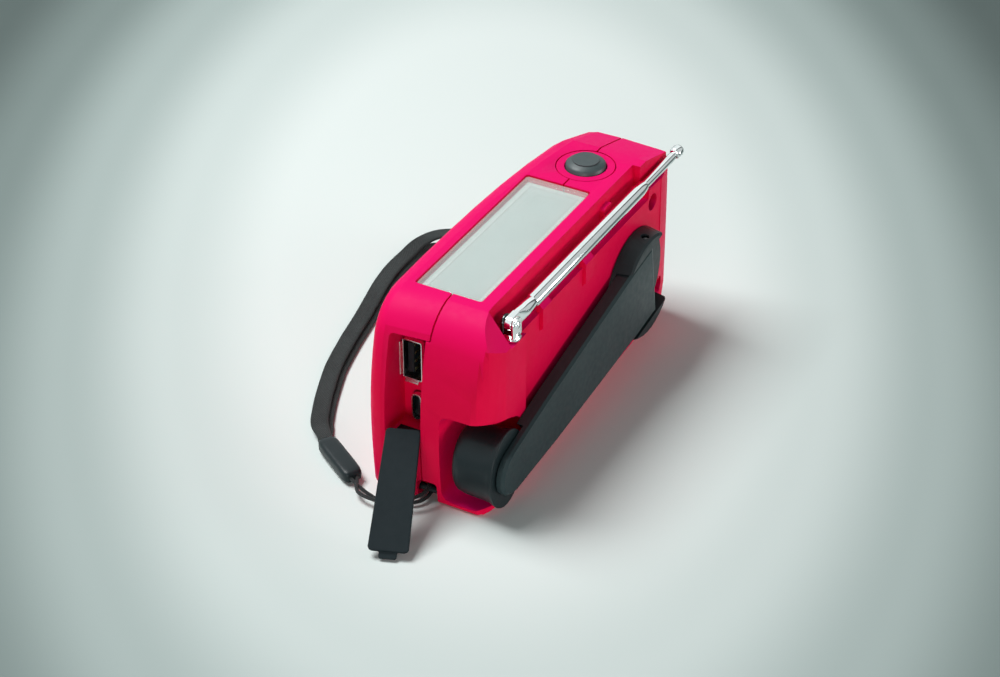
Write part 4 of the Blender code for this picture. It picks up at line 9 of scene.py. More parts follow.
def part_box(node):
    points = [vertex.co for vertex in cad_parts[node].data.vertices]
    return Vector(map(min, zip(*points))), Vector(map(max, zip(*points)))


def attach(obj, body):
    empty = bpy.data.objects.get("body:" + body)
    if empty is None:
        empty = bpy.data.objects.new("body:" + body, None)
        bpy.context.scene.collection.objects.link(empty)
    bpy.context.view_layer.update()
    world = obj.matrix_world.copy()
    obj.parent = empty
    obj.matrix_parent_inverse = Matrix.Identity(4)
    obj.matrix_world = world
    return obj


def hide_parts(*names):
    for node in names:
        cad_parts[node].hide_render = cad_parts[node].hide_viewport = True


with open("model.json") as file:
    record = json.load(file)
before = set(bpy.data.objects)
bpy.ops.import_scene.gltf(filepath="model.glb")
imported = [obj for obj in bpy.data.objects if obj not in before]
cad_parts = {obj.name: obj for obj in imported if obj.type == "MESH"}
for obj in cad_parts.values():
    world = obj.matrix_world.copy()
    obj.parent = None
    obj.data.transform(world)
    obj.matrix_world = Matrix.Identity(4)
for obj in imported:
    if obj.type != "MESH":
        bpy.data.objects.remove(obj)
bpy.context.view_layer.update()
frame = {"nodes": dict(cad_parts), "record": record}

# ---------------------------------------------------------------------------------------------
# Camera: a long lens on a full-frame body, looking down on the end with the sockets and on the
# back with the crank.
CAMERA_AZIMUTH = radians(118.68)
CAMERA_ELEVATION = radians(34.50)
CAMERA_DISTANCE = 0.689
CAMERA_LENS = 94.79
CAMERA_SENSOR = 36.0
CAMERA_CLIP = (0.01, 20.0)
CAMERA_AIM = Vector((0.05575, 0.0218, 0.0600))
towards_camera = Vector((sin(CAMERA_AZIMUTH) * cos(CAMERA_ELEVATION),
                         -cos(CAMERA_AZIMUTH) * cos(CAMERA_ELEVATION), sin(CAMERA_ELEVATION)))
camera = bpy.data.objects.new("camera", bpy.data.cameras.new("camera"))
camera.data.lens = CAMERA_LENS
camera.data.sensor_width = CAMERA_SENSOR
camera.data.clip_start, camera.data.clip_end = CAMERA_CLIP
camera.location = CAMERA_AIM + towards_camera * CAMERA_DISTANCE
camera.rotation_mode = "QUATERNION"
camera.rotation_quaternion = (-towards_camera).to_track_quat("-Z", "Y")
bpy.context.scene.collection.objects.link(camera)
bpy.context.scene.camera = camera

# ---------------------------------------------------------------------------------------------
# Wrist strap: a thin braided cord is looped round a pin in the casing, with both its ends held in
# a moulded slider bead. The hand loop is one length of woven webbing, folded double, and its ends
# sit in the same bead.
UP = Vector((0.0, 0.0, 1.0))
STRAP_GROUND_GAP = 0.0003
BEAD_WIDTH = 0.0060
BEAD_HEIGHT = 0.0044
BEAD_LENGTH = 0.0188
BEAD_POCKET = 0.0030
BEAD_POCKET_GAP = 0.0003
BEAD_SPOT = (0.0617, -0.0213, 0.0)
BEAD_TURN = radians(236.5)
bead_place = Matrix.Translation(BEAD_SPOT) @ Matrix.Rotation(BEAD_TURN, 4, "Z")
ROUTE_FINENESS = 16
TONE_STOPS = (0.35, 0.65)
TONE_DETAIL = 5.0
GLOSS_STOPS = (0.3, 0.7)
GLOSS_FINENESS = 9
GLOSS_DETAIL = 6.0
GRAIN_DETAIL = 3.0
GRAIN_STRENGTH = 0.5
WEAVE_STRENGTH = 0.9
WEAVE_RELIEF = 0.00012
WEAVE_SHEEN = 0.06
WEAVE_SHEEN_ROUGHNESS = 0.5


def show(name, mesh, material, body, replaced=(), smooth=35, rounding=0.0, segments=2):
    """Put a mesh in the scene as one piece: smooth but for its sharp edges, which are rounded over."""
    mesh.name = name
    piece = bpy.data.objects.new(name, mesh)
    bpy.context.scene.collection.objects.link(piece)
    mesh.materials.clear()
    mesh.materials.append(material)
    mesh.shade_smooth()
    mesh.set_sharp_from_angle(angle=radians(smooth))
    if rounding:
        edge = piece.modifiers.new("rounded edges", "BEVEL")
        edge.width = rounding
        edge.segments = segments
        edge.limit_method = "ANGLE"
        edge.angle_limit = radians(smooth)
        edge.use_clamp_overlap = True
        edge.harden_normals = True
    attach(piece, body)
    if replaced:
        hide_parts(*replaced)
    return piece


def spaced(points, pieces):
    """A smooth route through some points, evenly spaced, and its length."""
    dense = []
    padded = [points[0] * 2 - points[1], *points, points[-1] * 2 - points[-2]]
    for a, b, c, d in zip(padded, padded[1:], padded[2:], padded[3:]):
        for step in range(ROUTE_FINENESS):
            t = step / ROUTE_FINENESS
            dense.append(0.5 * ((2 * b) + (c - a) * t + (2 * a - 5 * b + 4 * c - d) * t * t
                                + (3 * b - a - 3 * c + d) * t ** 3))
    dense.append(points[-1])
    reached = [0.0]
    for first, second in zip(dense, dense[1:]):
        reached.append(reached[-1] + (second - first).length)
    route = []
    k = 0
    for piece in range(pieces + 1):
        target = reached[-1] * piece / pieces
        while k < len(reached) - 2 and reached[k + 1] < target:
            k += 1
        share = (target - reached[k]) / (reached[k + 1] - reached[k])
        route.append(dense[k].lerp(dense[k + 1], min(share, 1.0)))
    return route, reached[-1]


def feed(tree, socket, value):
    """Give a socket what another one says, or a plain value."""
    if isinstance(value, bpy.types.NodeSocket):
        tree.links.new(value, socket)
    else:
        socket.default_value = value


def reckon(tree, operation, *values):
    """One sum on one or two values, each a socket or a number."""
    step = tree.nodes.new("ShaderNodeMath")
    step.operation = operation
    for place, value in enumerate(values):
        feed(tree, step.inputs[place], value)
    return step.outputs[0]


def ranged(tree, value, from_low, from_high, to_low=0.0, to_high=1.0):
    """A value moved from one range to another, and held at its ends."""
    scale = tree.nodes.new("ShaderNodeMapRange")
    scale.inputs["From Min"].default_value = from_low
    scale.inputs["From Max"].default_value = from_high
    scale.inputs["To Min"].default_value = to_low
    scale.inputs["To Max"].default_value = to_high
    tree.links.new(value, scale.inputs["Value"])
    return scale.outputs["Result"]


def clouds(tree, place, scale, detail):
    """Soft uneven patches over a piece."""
    noise = tree.nodes.new("ShaderNodeTexNoise")
    noise.inputs["Scale"].default_value = scale
    noise.inputs["Detail"].default_value = detail
    tree.links.new(place, noise.inputs["Vector"])
    return noise.outputs["Fac"]


def split(tree, vector):
    """The three numbers of a place or a direction."""
    parts = tree.nodes.new("ShaderNodeSeparateXYZ")
    tree.links.new(vector, parts.inputs["Vector"])
    return parts.outputs


def raised(tree, height, strength, distance):
    """Fine relief on a finish, over the relief that it has already."""
    bump = tree.nodes.new("ShaderNodeBump")
    bump.inputs["Strength"].default_value = strength
    bump.inputs["Distance"].default_value = distance
    tree.links.new(height, bump.inputs["Height"])
    normal = tree.nodes["Principled BSDF"].inputs["Normal"]
    if normal.is_linked:
        tree.links.new(normal.links[0].from_socket, bump.inputs["Normal"])
    tree.links.new(bump.outputs["Normal"], normal)


def finish(name, low, high, rough, metal=0.0, patch=60.0, rough_spread=0.06, grain=0.0, grain_scale=2600.0,
           shine=0.5):
    """A finish whose colour runs between two tones in soft patches, with uneven gloss and a fine grain."""
    made = bpy.data.materials.new(name)
    made.use_nodes = True
    tree = made.node_tree
    shader = tree.nodes["Principled BSDF"]
    shader.inputs["Metallic"].default_value = metal
    shader.inputs["Specular IOR Level"].default_value = shine
    place = tree.nodes.new("ShaderNodeTexCoord").outputs["Object"]
    tone = tree.nodes.new("ShaderNodeValToRGB")
    tone.name = "tone"
    for number, colour in enumerate((low, high)):
        tone.color_ramp.elements[number].position = TONE_STOPS[number]
        tone.color_ramp.elements[number].color = (*colour, 1.0)
    tree.links.new(clouds(tree, place, patch, TONE_DETAIL), tone.inputs["Fac"])
    tree.links.new(tone.outputs["Color"], shader.inputs["Base Color"])
    speck = clouds(tree, place, patch * GLOSS_FINENESS, GLOSS_DETAIL)
    gloss = ranged(tree, speck, *GLOSS_STOPS, rough - rough_spread, rough + rough_spread)
    tree.links.new(gloss, shader.inputs["Roughness"])
    if grain:
        raised(tree, clouds(tree, place, grain_scale, GRAIN_DETAIL), GRAIN_STRENGTH, grain)
    return made


def woven(name, low, high, ribs, threads):
    """Webbing or braid: ribs across its length and threads along it, from its own flat coordinates."""
    made = finish(name, low, high, 0.62, patch=120.0, grain=0.00003, grain_scale=9000.0, shine=0.35)
    tree = made.node_tree
    flat = split(tree, tree.nodes.new("ShaderNodeUVMap").outputs["UV"])
    waves = [reckon(tree, "SINE", reckon(tree, "MULTIPLY", flat[axis], count * 2 * pi))
             for axis, count in (("X", ribs), ("Y", threads))]
    raised(tree, reckon(tree, "MULTIPLY", *waves), WEAVE_STRENGTH, WEAVE_RELIEF)
    shader = tree.nodes["Principled BSDF"]
    shader.inputs["Sheen Weight"].default_value = WEAVE_SHEEN
    shader.inputs["Sheen Roughness"].default_value = WEAVE_SHEEN_ROUGHNESS
    return made


def closed(name, bm):
    """A mesh of the faces drawn so far, all turned outwards."""
    bmesh.ops.recalc_face_normals(bm, faces=bm.faces)
    mesh = bpy.data.meshes.new(name)
    bm.to_mesh(mesh)
    bm.free()
    return mesh


def swept(name, rings):
    """A skin over rings of points, with flat coordinates: along in its length, across round each ring."""
    bm = bmesh.new()
    rows = [[bm.verts.new(point) for point in ring] for ring in rings]
    flat = bm.loops.layers.uv.new("flat")
    count = len(rings[0])
    for j in range(len(rows) - 1):
        for k in range(count):
            n = (k + 1) % count
            face = bm.faces.new((rows[j][k], rows[j][n], rows[j + 1][n], rows[j + 1][k]))
            for loop, (u, v) in zip(face.loops, ((j, k), (j, k + 1), (j + 1, k + 1), (j + 1, k))):
                loop[flat].uv = (u / (len(rows) - 1), v / count)
    bm.faces.new(reversed(rows[0]))
    bm.faces.new(rows[-1])
    return closed(name, bm)


def bead_point(along, across, height):
    """A place given along the bead, across it and up from the ground."""
    return bead_place @ Vector((along, across, height))


def eased(share):
    """A share that starts and stops gently."""
    return share * share * (3 - 2 * share)


def squared(turn, power):
    """Across and up on a unit round that is drawn out towards a square: a power of 1 keeps it round."""
    return (abs(cos(turn)) ** power * (1 if cos(turn) > 0 else -1),
            abs(sin(turn)) ** power * (1 if sin(turn) > 0 else -1))


# The cord runs out of the bead, round the pin and back again
CORD_RADIUS = 0.00055
CORD_STEPS = 90
CORD_SIDES = 16
CORD_STRANDS = 8
CORD_STRAND_TURN = 1.6
CORD_STRAND_RIDGE = 0.05
CORD_SPREAD = 0.0010
CORD_UPRIGHT = 0.05
CORD_OUT = ((0.0645, -0.0168, 0.0016), (0.0657, -0.0115, 0.0012), (0.0650, -0.0060, 0.0012),
            (0.0625, -0.0018, 0.0013), (0.0598, 0.0001, 0.0014))
CORD_BACK = ((0.0602, 0.0010, 0.0048), (0.0640, -0.0012, 0.0040), (0.0672, -0.0054, 0.0032),
             (0.0681, -0.0112, 0.0027), (0.0667, -0.0172, 0.0024))
CORD_LOOP = 0.00185
CORD_LOOP_POINTS = 6
PIN_X = 0.0568
PIN_HEIGHT = 0.0034
cord_height = (STRAP_GROUND_GAP + BEAD_HEIGHT) / 2
cord_depth = BEAD_POCKET - BEAD_POCKET_GAP
pin_low, pin_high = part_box("lanyard_pin")
pin_middle_y = (pin_low.y + pin_high.y) / 2
cord_points = [bead_point(cord_depth, CORD_SPREAD, cord_height), bead_point(0.0, CORD_SPREAD, cord_height)]
cord_points += [Vector(point) for point in CORD_OUT]
for k in range(CORD_LOOP_POINTS):
    turn = -pi / 2 - pi * k / (CORD_LOOP_POINTS - 1)
    cord_points.append(Vector((PIN_X + CORD_LOOP * cos(turn), pin_middle_y,
                               PIN_HEIGHT + CORD_LOOP * sin(turn))))
cord_points += [Vector(point) for point in CORD_BACK]
cord_points += [bead_point(0.0, -CORD_SPREAD, cord_height), bead_point(cord_depth, -CORD_SPREAD, cord_height)]
cord_path, cord_length = spaced(cord_points, CORD_STEPS)
cord_rings = []
for k, point in enumerate(cord_path):
    ahead = (cord_path[min(k + 1, CORD_STEPS)] - cord_path[max(k - 1, 0)]).normalized()
    side = ahead.cross(UP)
    side = side.normalized() if side.length > CORD_UPRIGHT else Vector((0.0, 1.0, 0.0))
    lift = side.cross(ahead)
    ring = []
    for j in range(CORD_SIDES):
        turn = 2 * pi * j / CORD_SIDES
        ridge = CORD_STRAND_RIDGE * cos(CORD_STRANDS / 2 * turn + k * CORD_STRAND_TURN)
        reach = CORD_RADIUS * (1 - CORD_STRAND_RIDGE + ridge)
        ring.append(point + side * cos(turn) * reach + lift * sin(turn) * reach)
    cord_rings.append(ring)
CORD_FINISH = woven("cord braid", (0.005, 0.008, 0.009), (0.011, 0.015, 0.016), 60, 8)
cord = show("cord", swept("cord", cord_rings), CORD_FINISH, "case", ["strap_cord"], smooth=80)

# The webbing lies in two layers that spread a little beyond the bead and meet in a round fold
WEBBING_HALF_WIDTH = 0.0026
WEBBING_HALF_THICKNESS = 0.00045
WEBBING_EDGE = ((-1.0, 0.0), (-0.97, -0.62), (-0.84, -1.0), (-0.62, -0.90), (-0.2, -0.96), (0.2, -0.96),
                (0.62, -0.90), (0.84, -1.0), (0.97, -0.62), (1.0, 0.0), (0.97, 0.62), (0.84, 1.0),
                (0.62, 0.90), (0.2, 0.96), (-0.2, 0.96), (-0.62, 0.90), (-0.84, 1.0), (-0.97, 0.62))
STRAP_LOOP = ((0.0438, -0.0430), (0.0386, -0.0458), (0.0333, -0.0483), (0.0277, -0.0506), (0.0220, -0.0528),
              (0.0160, -0.0548), (0.0034, -0.0579), (-0.0093, -0.0605), (-0.0231, -0.0638),
              (-0.0300, -0.0652), (-0.0374, -0.0661), (-0.0454, -0.0661), (-0.0512, -0.0653),
              (-0.0555, -0.0622), (-0.0571, -0.0570), (-0.0571, -0.0500))
STRAP_FOLD_RADIUS = 0.0030
STRAP_FOLD_STEPS = 12
STRAP_SIDE_SHIFT = 0.0007
STRAP_LAYER_RISE = 0.0013
STRAP_PINCH = 0.78
STRAP_DROP = 0.0090
STRAP_STEPS = 90
STRAP_LIFT_START = 0.80
STRAP_LIFT_RUN = 0.20
lower_height = STRAP_GROUND_GAP + WEBBING_HALF_THICKNESS
upper_height = lower_height + STRAP_LAYER_RISE
bead_lift = cord_height - (lower_height + upper_height) / 2
strap_plan, plan_length = spaced([bead_point(BEAD_LENGTH - BEAD_POCKET + BEAD_POCKET_GAP, 0.0, 0.0),
                                  bead_point(BEAD_LENGTH, 0.0, 0.0)]
                                 + [Vector((x, y, 0.0)) for x, y in STRAP_LOOP], STRAP_STEPS)
strap_rings = []


def webbing_ring(centre, side, up, width_share):
    """One cut through the webbing, with its thicker edges."""
    strap_rings.append([centre + side * WEBBING_HALF_WIDTH * width_share * a + up * WEBBING_HALF_THICKNESS * b
                        for a, b in WEBBING_EDGE])


def level_side(k):
    """The level direction across the webbing."""
    ahead = strap_plan[min(k + 1, STRAP_STEPS)] - strap_plan[max(k - 1, 0)]
    return Vector((ahead.y, -ahead.x, 0.0)).normalized()


def near_bead(k):
    """1 inside the bead, falling to 0 where the webbing lies free."""
    share = min(max((plan_length * k / STRAP_STEPS - BEAD_POCKET) / STRAP_DROP, 0.0), 1.0)
    return 1 - eased(share)


def layer(k, shift, height, up):
    """One cut through the lower or the upper layer."""
    near = near_bead(k)
    webbing_ring(strap_plan[k] + level_side(k) * shift * (1 - near) + UP * (height + bead_lift * near),
                 level_side(k), up, 1 - near * (1 - STRAP_PINCH))


for k in range(STRAP_STEPS + 1):
    layer(k, STRAP_SIDE_SHIFT, lower_height, UP)
fold_side = level_side(STRAP_STEPS)
fold_ahead = Vector((-fold_side.y, fold_side.x, 0.0))
fold_centre = strap_plan[-1] + UP * (lower_height + STRAP_FOLD_RADIUS)
for k in range(1, STRAP_FOLD_STEPS):
    turn = -pi / 2 + pi * k / STRAP_FOLD_STEPS
    out = fold_ahead * cos(turn) + UP * sin(turn)
    shift = fold_side * STRAP_SIDE_SHIFT * (1 - 2 * k / STRAP_FOLD_STEPS)
    webbing_ring(fold_centre + shift + out * STRAP_FOLD_RADIUS, fold_side, -out, 1.0)
for k in range(STRAP_STEPS, -1, -1):
    rise = eased(max(0.0, (k / STRAP_STEPS - STRAP_LIFT_START) / STRAP_LIFT_RUN))
    layer(k, -STRAP_SIDE_SHIFT, upper_height + (STRAP_FOLD_RADIUS * 2 - STRAP_LAYER_RISE) * rise, -UP)
WEBBING_FINISH = woven("webbing weave", (0.005, 0.009, 0.009), (0.013, 0.019, 0.019), 330, 26)
webbing = show("webbing", swept("webbing", strap_rings), WEBBING_FINISH, "case",
               ["strap_webbing"], smooth=70)

# The bead is a squarish barrel that narrows at both mouths
BLACK_FINISH = finish("black moulding", (0.008, 0.015, 0.017), (0.012, 0.020, 0.023), 0.36, grain=0.000006,
                      shine=0.22)
BEAD_OUTLINE = ((0.0, 0.62), (0.015, 0.78), (0.05, 0.90), (0.12, 0.97), (0.25, 1.0), (0.70, 1.0),
                (0.88, 0.98), (0.95, 0.92), (0.985, 0.82), (1.0, 0.66))
BEAD_SQUARENESS = 0.52
BEAD_SIDES = 40
bead_rings = []
for along_share, fullness in BEAD_OUTLINE:
    ring = []
    for k in range(BEAD_SIDES):
        across, height = squared(2 * pi * k / BEAD_SIDES, BEAD_SQUARENESS)
        ring.append(bead_point(BEAD_LENGTH * along_share, across * fullness * BEAD_WIDTH / 2,
                               cord_height + height * fullness * (BEAD_HEIGHT - STRAP_GROUND_GAP) / 2))
    bead_rings.append(ring)
bead = show("slider_bead", swept("slider_bead", bead_rings), BLACK_FINISH, "case",
            ["strap_bead"], smooth=55)

# ---------------------------------------------------------------------------------------------
# Casing: two shells moulded in bright pink plastic with a soft satin skin, parted down the middle
# and screwed together from the back. The collar round the button is a separate ring of the same
# plastic. The mould leaves all edges slightly rounded.
# Painted light and shade: faces turned up take a lighter pink, faces turned aside a darker, redder one.
CASING_PAINTED_LIT_TOP = (0.88, 0.004, 0.150)
CASING_PAINTED_SHADED_SIDE = (0.80, 0.002, 0.052)
CASING_PATCH_GAIN = 1.05
CASING_SHEEN = 0.16
CASING_SHEEN_ROUGHNESS = 0.40
CASING_SHEEN_TINT = (1.0, 0.05, 0.60, 1.0)
CASING_PAINTED_SHADE_LEAN = (0.1, 0.95)
CASING_ROUNDING = 0.00025
COLLAR_ROUNDING = 0.0002
SAME_PLACE = 0.000002
SAME_PLANE = radians(0.6)


def dressed(node):
    """The node's own shape again, its flat faces joined up, for a piece that is finished more finely."""
    bm = bmesh.new()
    bm.from_mesh(frame["nodes"][node].data)
    bmesh.ops.remove_doubles(bm, verts=bm.verts, dist=SAME_PLACE)
    bmesh.ops.dissolve_limit(bm, angle_limit=SAME_PLANE, verts=bm.verts, edges=bm.edges)
    mesh = bpy.data.meshes.new(node)
    bm.to_mesh(mesh)
    bm.free()
    return mesh


def blend(tree, first, second, share=1.0, way="MIX"):
    """Two colours in one, mixed by a share or multiplied. Each is a socket or a plain colour."""
    mix = tree.nodes.new("ShaderNodeMix")
    mix.data_type = "RGBA"
    mix.blend_type = way
    for place, value in ((0, share), (6, first), (7, second)):
        feed(tree, mix.inputs[place], value)
    return mix.outputs[2]


CASING_FINISH = finish("casing skin", CASING_PAINTED_SHADED_SIDE, tuple(c * CASING_PATCH_GAIN for c in CASING_PAINTED_SHADED_SIDE), 0.46,
                       grain=0.000004, grain_scale=5200.0, shine=0.05)
casing_tree = CASING_FINISH.node_tree
casing_shader = casing_tree.nodes["Principled BSDF"]
casing_shader.inputs["Sheen Weight"].default_value = CASING_SHEEN
casing_shader.inputs["Sheen Roughness"].default_value = CASING_SHEEN_ROUGHNESS
casing_shader.inputs["Sheen Tint"].default_value = CASING_SHEEN_TINT
# Painted shade by facing: the pink runs from the shaded side colour to the lit top colour as the face turns
# up.
casing_facing = split(casing_tree, casing_tree.nodes.new("ShaderNodeNewGeometry").outputs["Normal"])
casing_painted_light_and_shade = blend(casing_tree, casing_tree.nodes["tone"].outputs["Color"], (*CASING_PAINTED_LIT_TOP, 1.0),
                    ranged(casing_tree, casing_facing["Z"], *CASING_PAINTED_SHADE_LEAN))
casing_tree.links.new(casing_painted_light_and_shade, casing_shader.inputs["Base Color"])
for name, node, smooth, rounding in (("front_casing", "front_shell", 28, CASING_ROUNDING),
                                     ("rear_casing", "rear_shell", 28, CASING_ROUNDING),
                                     ("button_collar", "button_ring", 35, COLLAR_ROUNDING)):
    show(name, dressed(node), CASING_FINISH, "case", [node], smooth=smooth, rounding=rounding)

# ---------------------------------------------------------------------------------------------
# Solar panel: a silvery cell with a darker line round it and fine streaks, glued under a clear
# plastic cover that lies in a step of the casing's top. The torch window at the far end is clipped
# in behind the casing's wall and is clearer.
CELL_BORDER = 0.0018
CELL_RIM = ((0.0, 1.0), (0.40, 1.0), (0.47, 0.0), (0.53, 0.0), (0.60, 0.42), (1.0, 0.42))
CELL_STREAKS = 260.0
CELL_STREAK_STRETCH = (0.06, 1.0, 1.0)
CELL_STREAK_DETAIL = 2.0
CELL_STREAK_SHARE = 0.20
CELL_FAR_STRIP = 0.0042
CELL_FAR_SHARE = 0.16
CELL_LIGHT_RANGE = (0.0, 1.1, 0.80, 1.22)
COVER_ALPHA = 0.24
WINDOW_ALPHA = 0.12
PANEL_ROUNDING = 0.00025


def graded(tree, share, stops, interpolation="LINEAR"):
    """A colour that runs through some stops, the first at a share of 0 and the last at 1."""
    ramp = tree.nodes.new("ShaderNodeValToRGB")
    ramp.color_ramp.interpolation = interpolation
    ends = ramp.color_ramp.elements
    ends[0].color = (*stops[0][1], 1.0)
    ends[1].color = (*stops[-1][1], 1.0)
    for position, colour in stops[1:-1]:
        ends.new(position).color = (*colour, 1.0)
    tree.links.new(share, ramp.inputs["Fac"])
    return ramp.outputs["Color"]


CELL_FINISH = finish("cell face", (0.47, 0.57, 0.54), (0.51, 0.61, 0.58), 0.36, patch=90.0)
cell_tree = CELL_FINISH.node_tree
cell_low, cell_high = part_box("solar_cell")
cell_middle = (cell_low + cell_high) / 2
cell_half = (cell_high - cell_low) / 2
cell_place = cell_tree.nodes.new("ShaderNodeTexCoord").outputs["Object"]
cell_spot = split(cell_tree, cell_place)
cell_gaps = []
for axis, middle, half in (("X", cell_middle.x, cell_half.x), ("Y", cell_middle.y, cell_half.y)):
    aside = reckon(cell_tree, "ABSOLUTE", reckon(cell_tree, "SUBTRACT", cell_spot[axis], middle))
    cell_gaps.append(reckon(cell_tree, "SUBTRACT", half, aside))
cell_edge = reckon(cell_tree, "DIVIDE", reckon(cell_tree, "MINIMUM", *cell_gaps), CELL_BORDER * 2)
cell_rim = graded(cell_tree, cell_edge, [(position, (shade, shade, shade)) for position, shade in CELL_RIM])
cell_stretch = cell_tree.nodes.new("ShaderNodeMapping")
cell_stretch.inputs["Scale"].default_value = CELL_STREAK_STRETCH
cell_tree.links.new(cell_place, cell_stretch.inputs["Vector"])
cell_streak = clouds(cell_tree, cell_stretch.outputs["Vector"], CELL_STREAKS, CELL_STREAK_DETAIL)
cell_far = reckon(cell_tree, "LESS_THAN", cell_spot["X"], cell_low.x + CELL_FAR_STRIP)
cell_light = reckon(cell_tree, "ADD", reckon(cell_tree, "MULTIPLY", cell_streak, CELL_STREAK_SHARE), cell_rim)
cell_light = reckon(cell_tree, "ADD", cell_light, reckon(cell_tree, "MULTIPLY", cell_far, CELL_FAR_SHARE))
cell_tinted = blend(cell_tree, cell_tree.nodes["tone"].outputs["Color"],
                    ranged(cell_tree, cell_light, *CELL_LIGHT_RANGE), way="MULTIPLY")
cell_tree.links.new(cell_tinted, cell_tree.nodes["Principled BSDF"].inputs["Base Color"])
show("cell", dressed("solar_cell"), CELL_FINISH, "case", ["solar_cell"])
COVER_FINISH = finish("clear cover", (0.84, 0.93, 0.91), (0.88, 0.96, 0.94), 0.10, patch=140.0,
                      rough_spread=0.04)
COVER_FINISH.node_tree.nodes["Principled BSDF"].inputs["Alpha"].default_value = COVER_ALPHA
show("panel_cover", dressed("solar_cover"), COVER_FINISH, "case", ["solar_cover"],
     rounding=PANEL_ROUNDING)
WINDOW_FINISH = finish("torch window", (0.90, 0.95, 0.94), (0.94, 0.98, 0.97), 0.06, patch=140.0,
                       rough_spread=0.03)
WINDOW_FINISH.node_tree.nodes["Principled BSDF"].inputs["Alpha"].default_value = WINDOW_ALPHA
show("torch_window", dressed("torch_lens"), WINDOW_FINISH, "case", ["torch_lens"],
     rounding=PANEL_ROUNDING)

# ---------------------------------------------------------------------------------------------
# Torch button: a soft dome with a raised ring, moulded in dark grey rubber. It stands up through
# the collar in the casing's top and presses on a small switch on the board.
BUTTON_ROUNDING = 0.0002
RUBBER_FINISH = finish("button rubber", (0.034, 0.052, 0.055), (0.044, 0.064, 0.067), 0.46, grain=0.000008)
show("button_dome", dressed("torch_button"), RUBBER_FINISH, "torch_button", ["torch_button"],
     smooth=50, rounding=BUTTON_ROUNDING)

# ---------------------------------------------------------------------------------------------
# Crank: a moulded hub with two ears, an arm that folds between them on a steel pin, and a waisted
# oval knob that spins on its axle at the arm's tip. The hub and knob are black plastic, and the
# arm is a shade greyer.
ARM_FINISH = finish("arm moulding", (0.015, 0.030, 0.033), (0.020, 0.037, 0.040), 0.42, grain=0.000006,
                    shine=0.25)
CRANK_ROUNDING = 0.0004
KNOB_ROUNDING = 0.0003
show("hub", dressed("crank_hub"), BLACK_FINISH, "crank", ["crank_hub"], smooth=32,
     rounding=CRANK_ROUNDING)
show("arm", dressed("crank_arm"), ARM_FINISH, "arm", ["crank_arm"], smooth=32,
     rounding=CRANK_ROUNDING)
show("knob", dressed("crank_knob"), BLACK_FINISH, "knob", ["crank_knob"], smooth=40,
     rounding=KNOB_ROUNDING)

# ---------------------------------------------------------------------------------------------
# Sockets: folded steel shells with a bright tinned face round black tongues, soldered to the
# board. The larger tongue has four gilt contacts on it, and its shell has flared lips at the mouth.
SOCKET_FINISH = finish("socket steel", (0.62, 0.66, 0.66), (0.76, 0.79, 0.79), 0.22, metal=1.0, patch=400.0)
GOLD_FINISH = finish("gold contacts", (0.72, 0.56, 0.28), (0.82, 0.66, 0.36), 0.25, metal=1.0, patch=500.0)
SHELL_ROUNDING = 0.00012
TONGUE_ROUNDING = 0.0001
TONGUE_FACE_Y = -0.00795
CONTACT_THICKNESS = 0.00008
CONTACT_HALF_HEIGHT = 0.0005
CONTACT_LENGTH = 0.0045
CONTACT_SETBACK = 0.0006
CONTACT_SHARES = (-0.34, -0.12, 0.12, 0.34)
CONTACT_ROUNDING = 0.00002
LIP_REACH = 0.0007
LIP_SPREAD = 0.0006
LIP_THICKNESS = 0.00028
LIP_SHORT = 0.0010
LIP_ROUNDING = 0.00006


def slab(name, outline, low, high):
    """A flat plate across Y: an outline of X and height, from one side to the other."""
    bm = bmesh.new()
    sides = [[bm.verts.new((x, y, z)) for x, z in outline] for y in (low, high)]
    bm.faces.new(sides[0])
    bm.faces.new(reversed(sides[1]))
    for k in range(len(outline)):
        n = (k + 1) % len(outline)
        bm.faces.new((sides[0][k], sides[1][k], sides[1][n], sides[0][n]))
    return closed(name, bm)


def plate(name, low, high, material, rounding):
    """A small rounded plate between two corners."""
    outline = [(low[0], low[2]), (high[0], low[2]), (high[0], high[2]), (low[0], high[2])]
    return show(name, slab(name, outline, low[1], high[1]), material, "case", rounding=rounding)


def lip(name, foot, edge, along, out):
    """A flared lip at the mouth of the steel shell: a thin strip that leans out from foot to edge."""
    bm = bmesh.new()
    ends = []
    for end in along:
        ends.append([bm.verts.new(Vector(point) + Vector(end)) for point in
                     (foot, edge, Vector(edge) + Vector(out), Vector(foot) + Vector(out))])
    bm.faces.new(ends[0])
    bm.faces.new(reversed(ends[1]))
    for k in range(4):
        n = (k + 1) % 4
        bm.faces.new((ends[0][k], ends[1][k], ends[1][n], ends[0][n]))
    show(name, closed(name, bm), SOCKET_FINISH, "case", rounding=LIP_ROUNDING)


for node in ("usb_a_shell", "usb_c_shell"):
    show(node + "_bright", dressed(node), SOCKET_FINISH, "case", [node],
         rounding=SHELL_ROUNDING)
for node in ("usb_a_tongue", "usb_c_tongue"):
    show(node + "_black", dressed(node), BLACK_FINISH, "case", [node],
         rounding=TONGUE_ROUNDING)
tongue_low, tongue_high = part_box("usb_a_tongue")
contact_end = tongue_high.x - CONTACT_SETBACK
for number, share in enumerate(CONTACT_SHARES):
    middle = (tongue_low.z + tongue_high.z) / 2 + (tongue_high.z - tongue_low.z) * share
    plate("usb_contact_%d" % (number + 1),
          (contact_end - CONTACT_LENGTH, TONGUE_FACE_Y, middle - CONTACT_HALF_HEIGHT),
          (contact_end, TONGUE_FACE_Y + CONTACT_THICKNESS, middle + CONTACT_HALF_HEIGHT),
          GOLD_FINISH, CONTACT_ROUNDING)
shell_low, shell_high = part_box("usb_a_shell")
lip_side = shell_low.y + LIP_THICKNESS
lip_foot = shell_low.z + LIP_THICKNESS
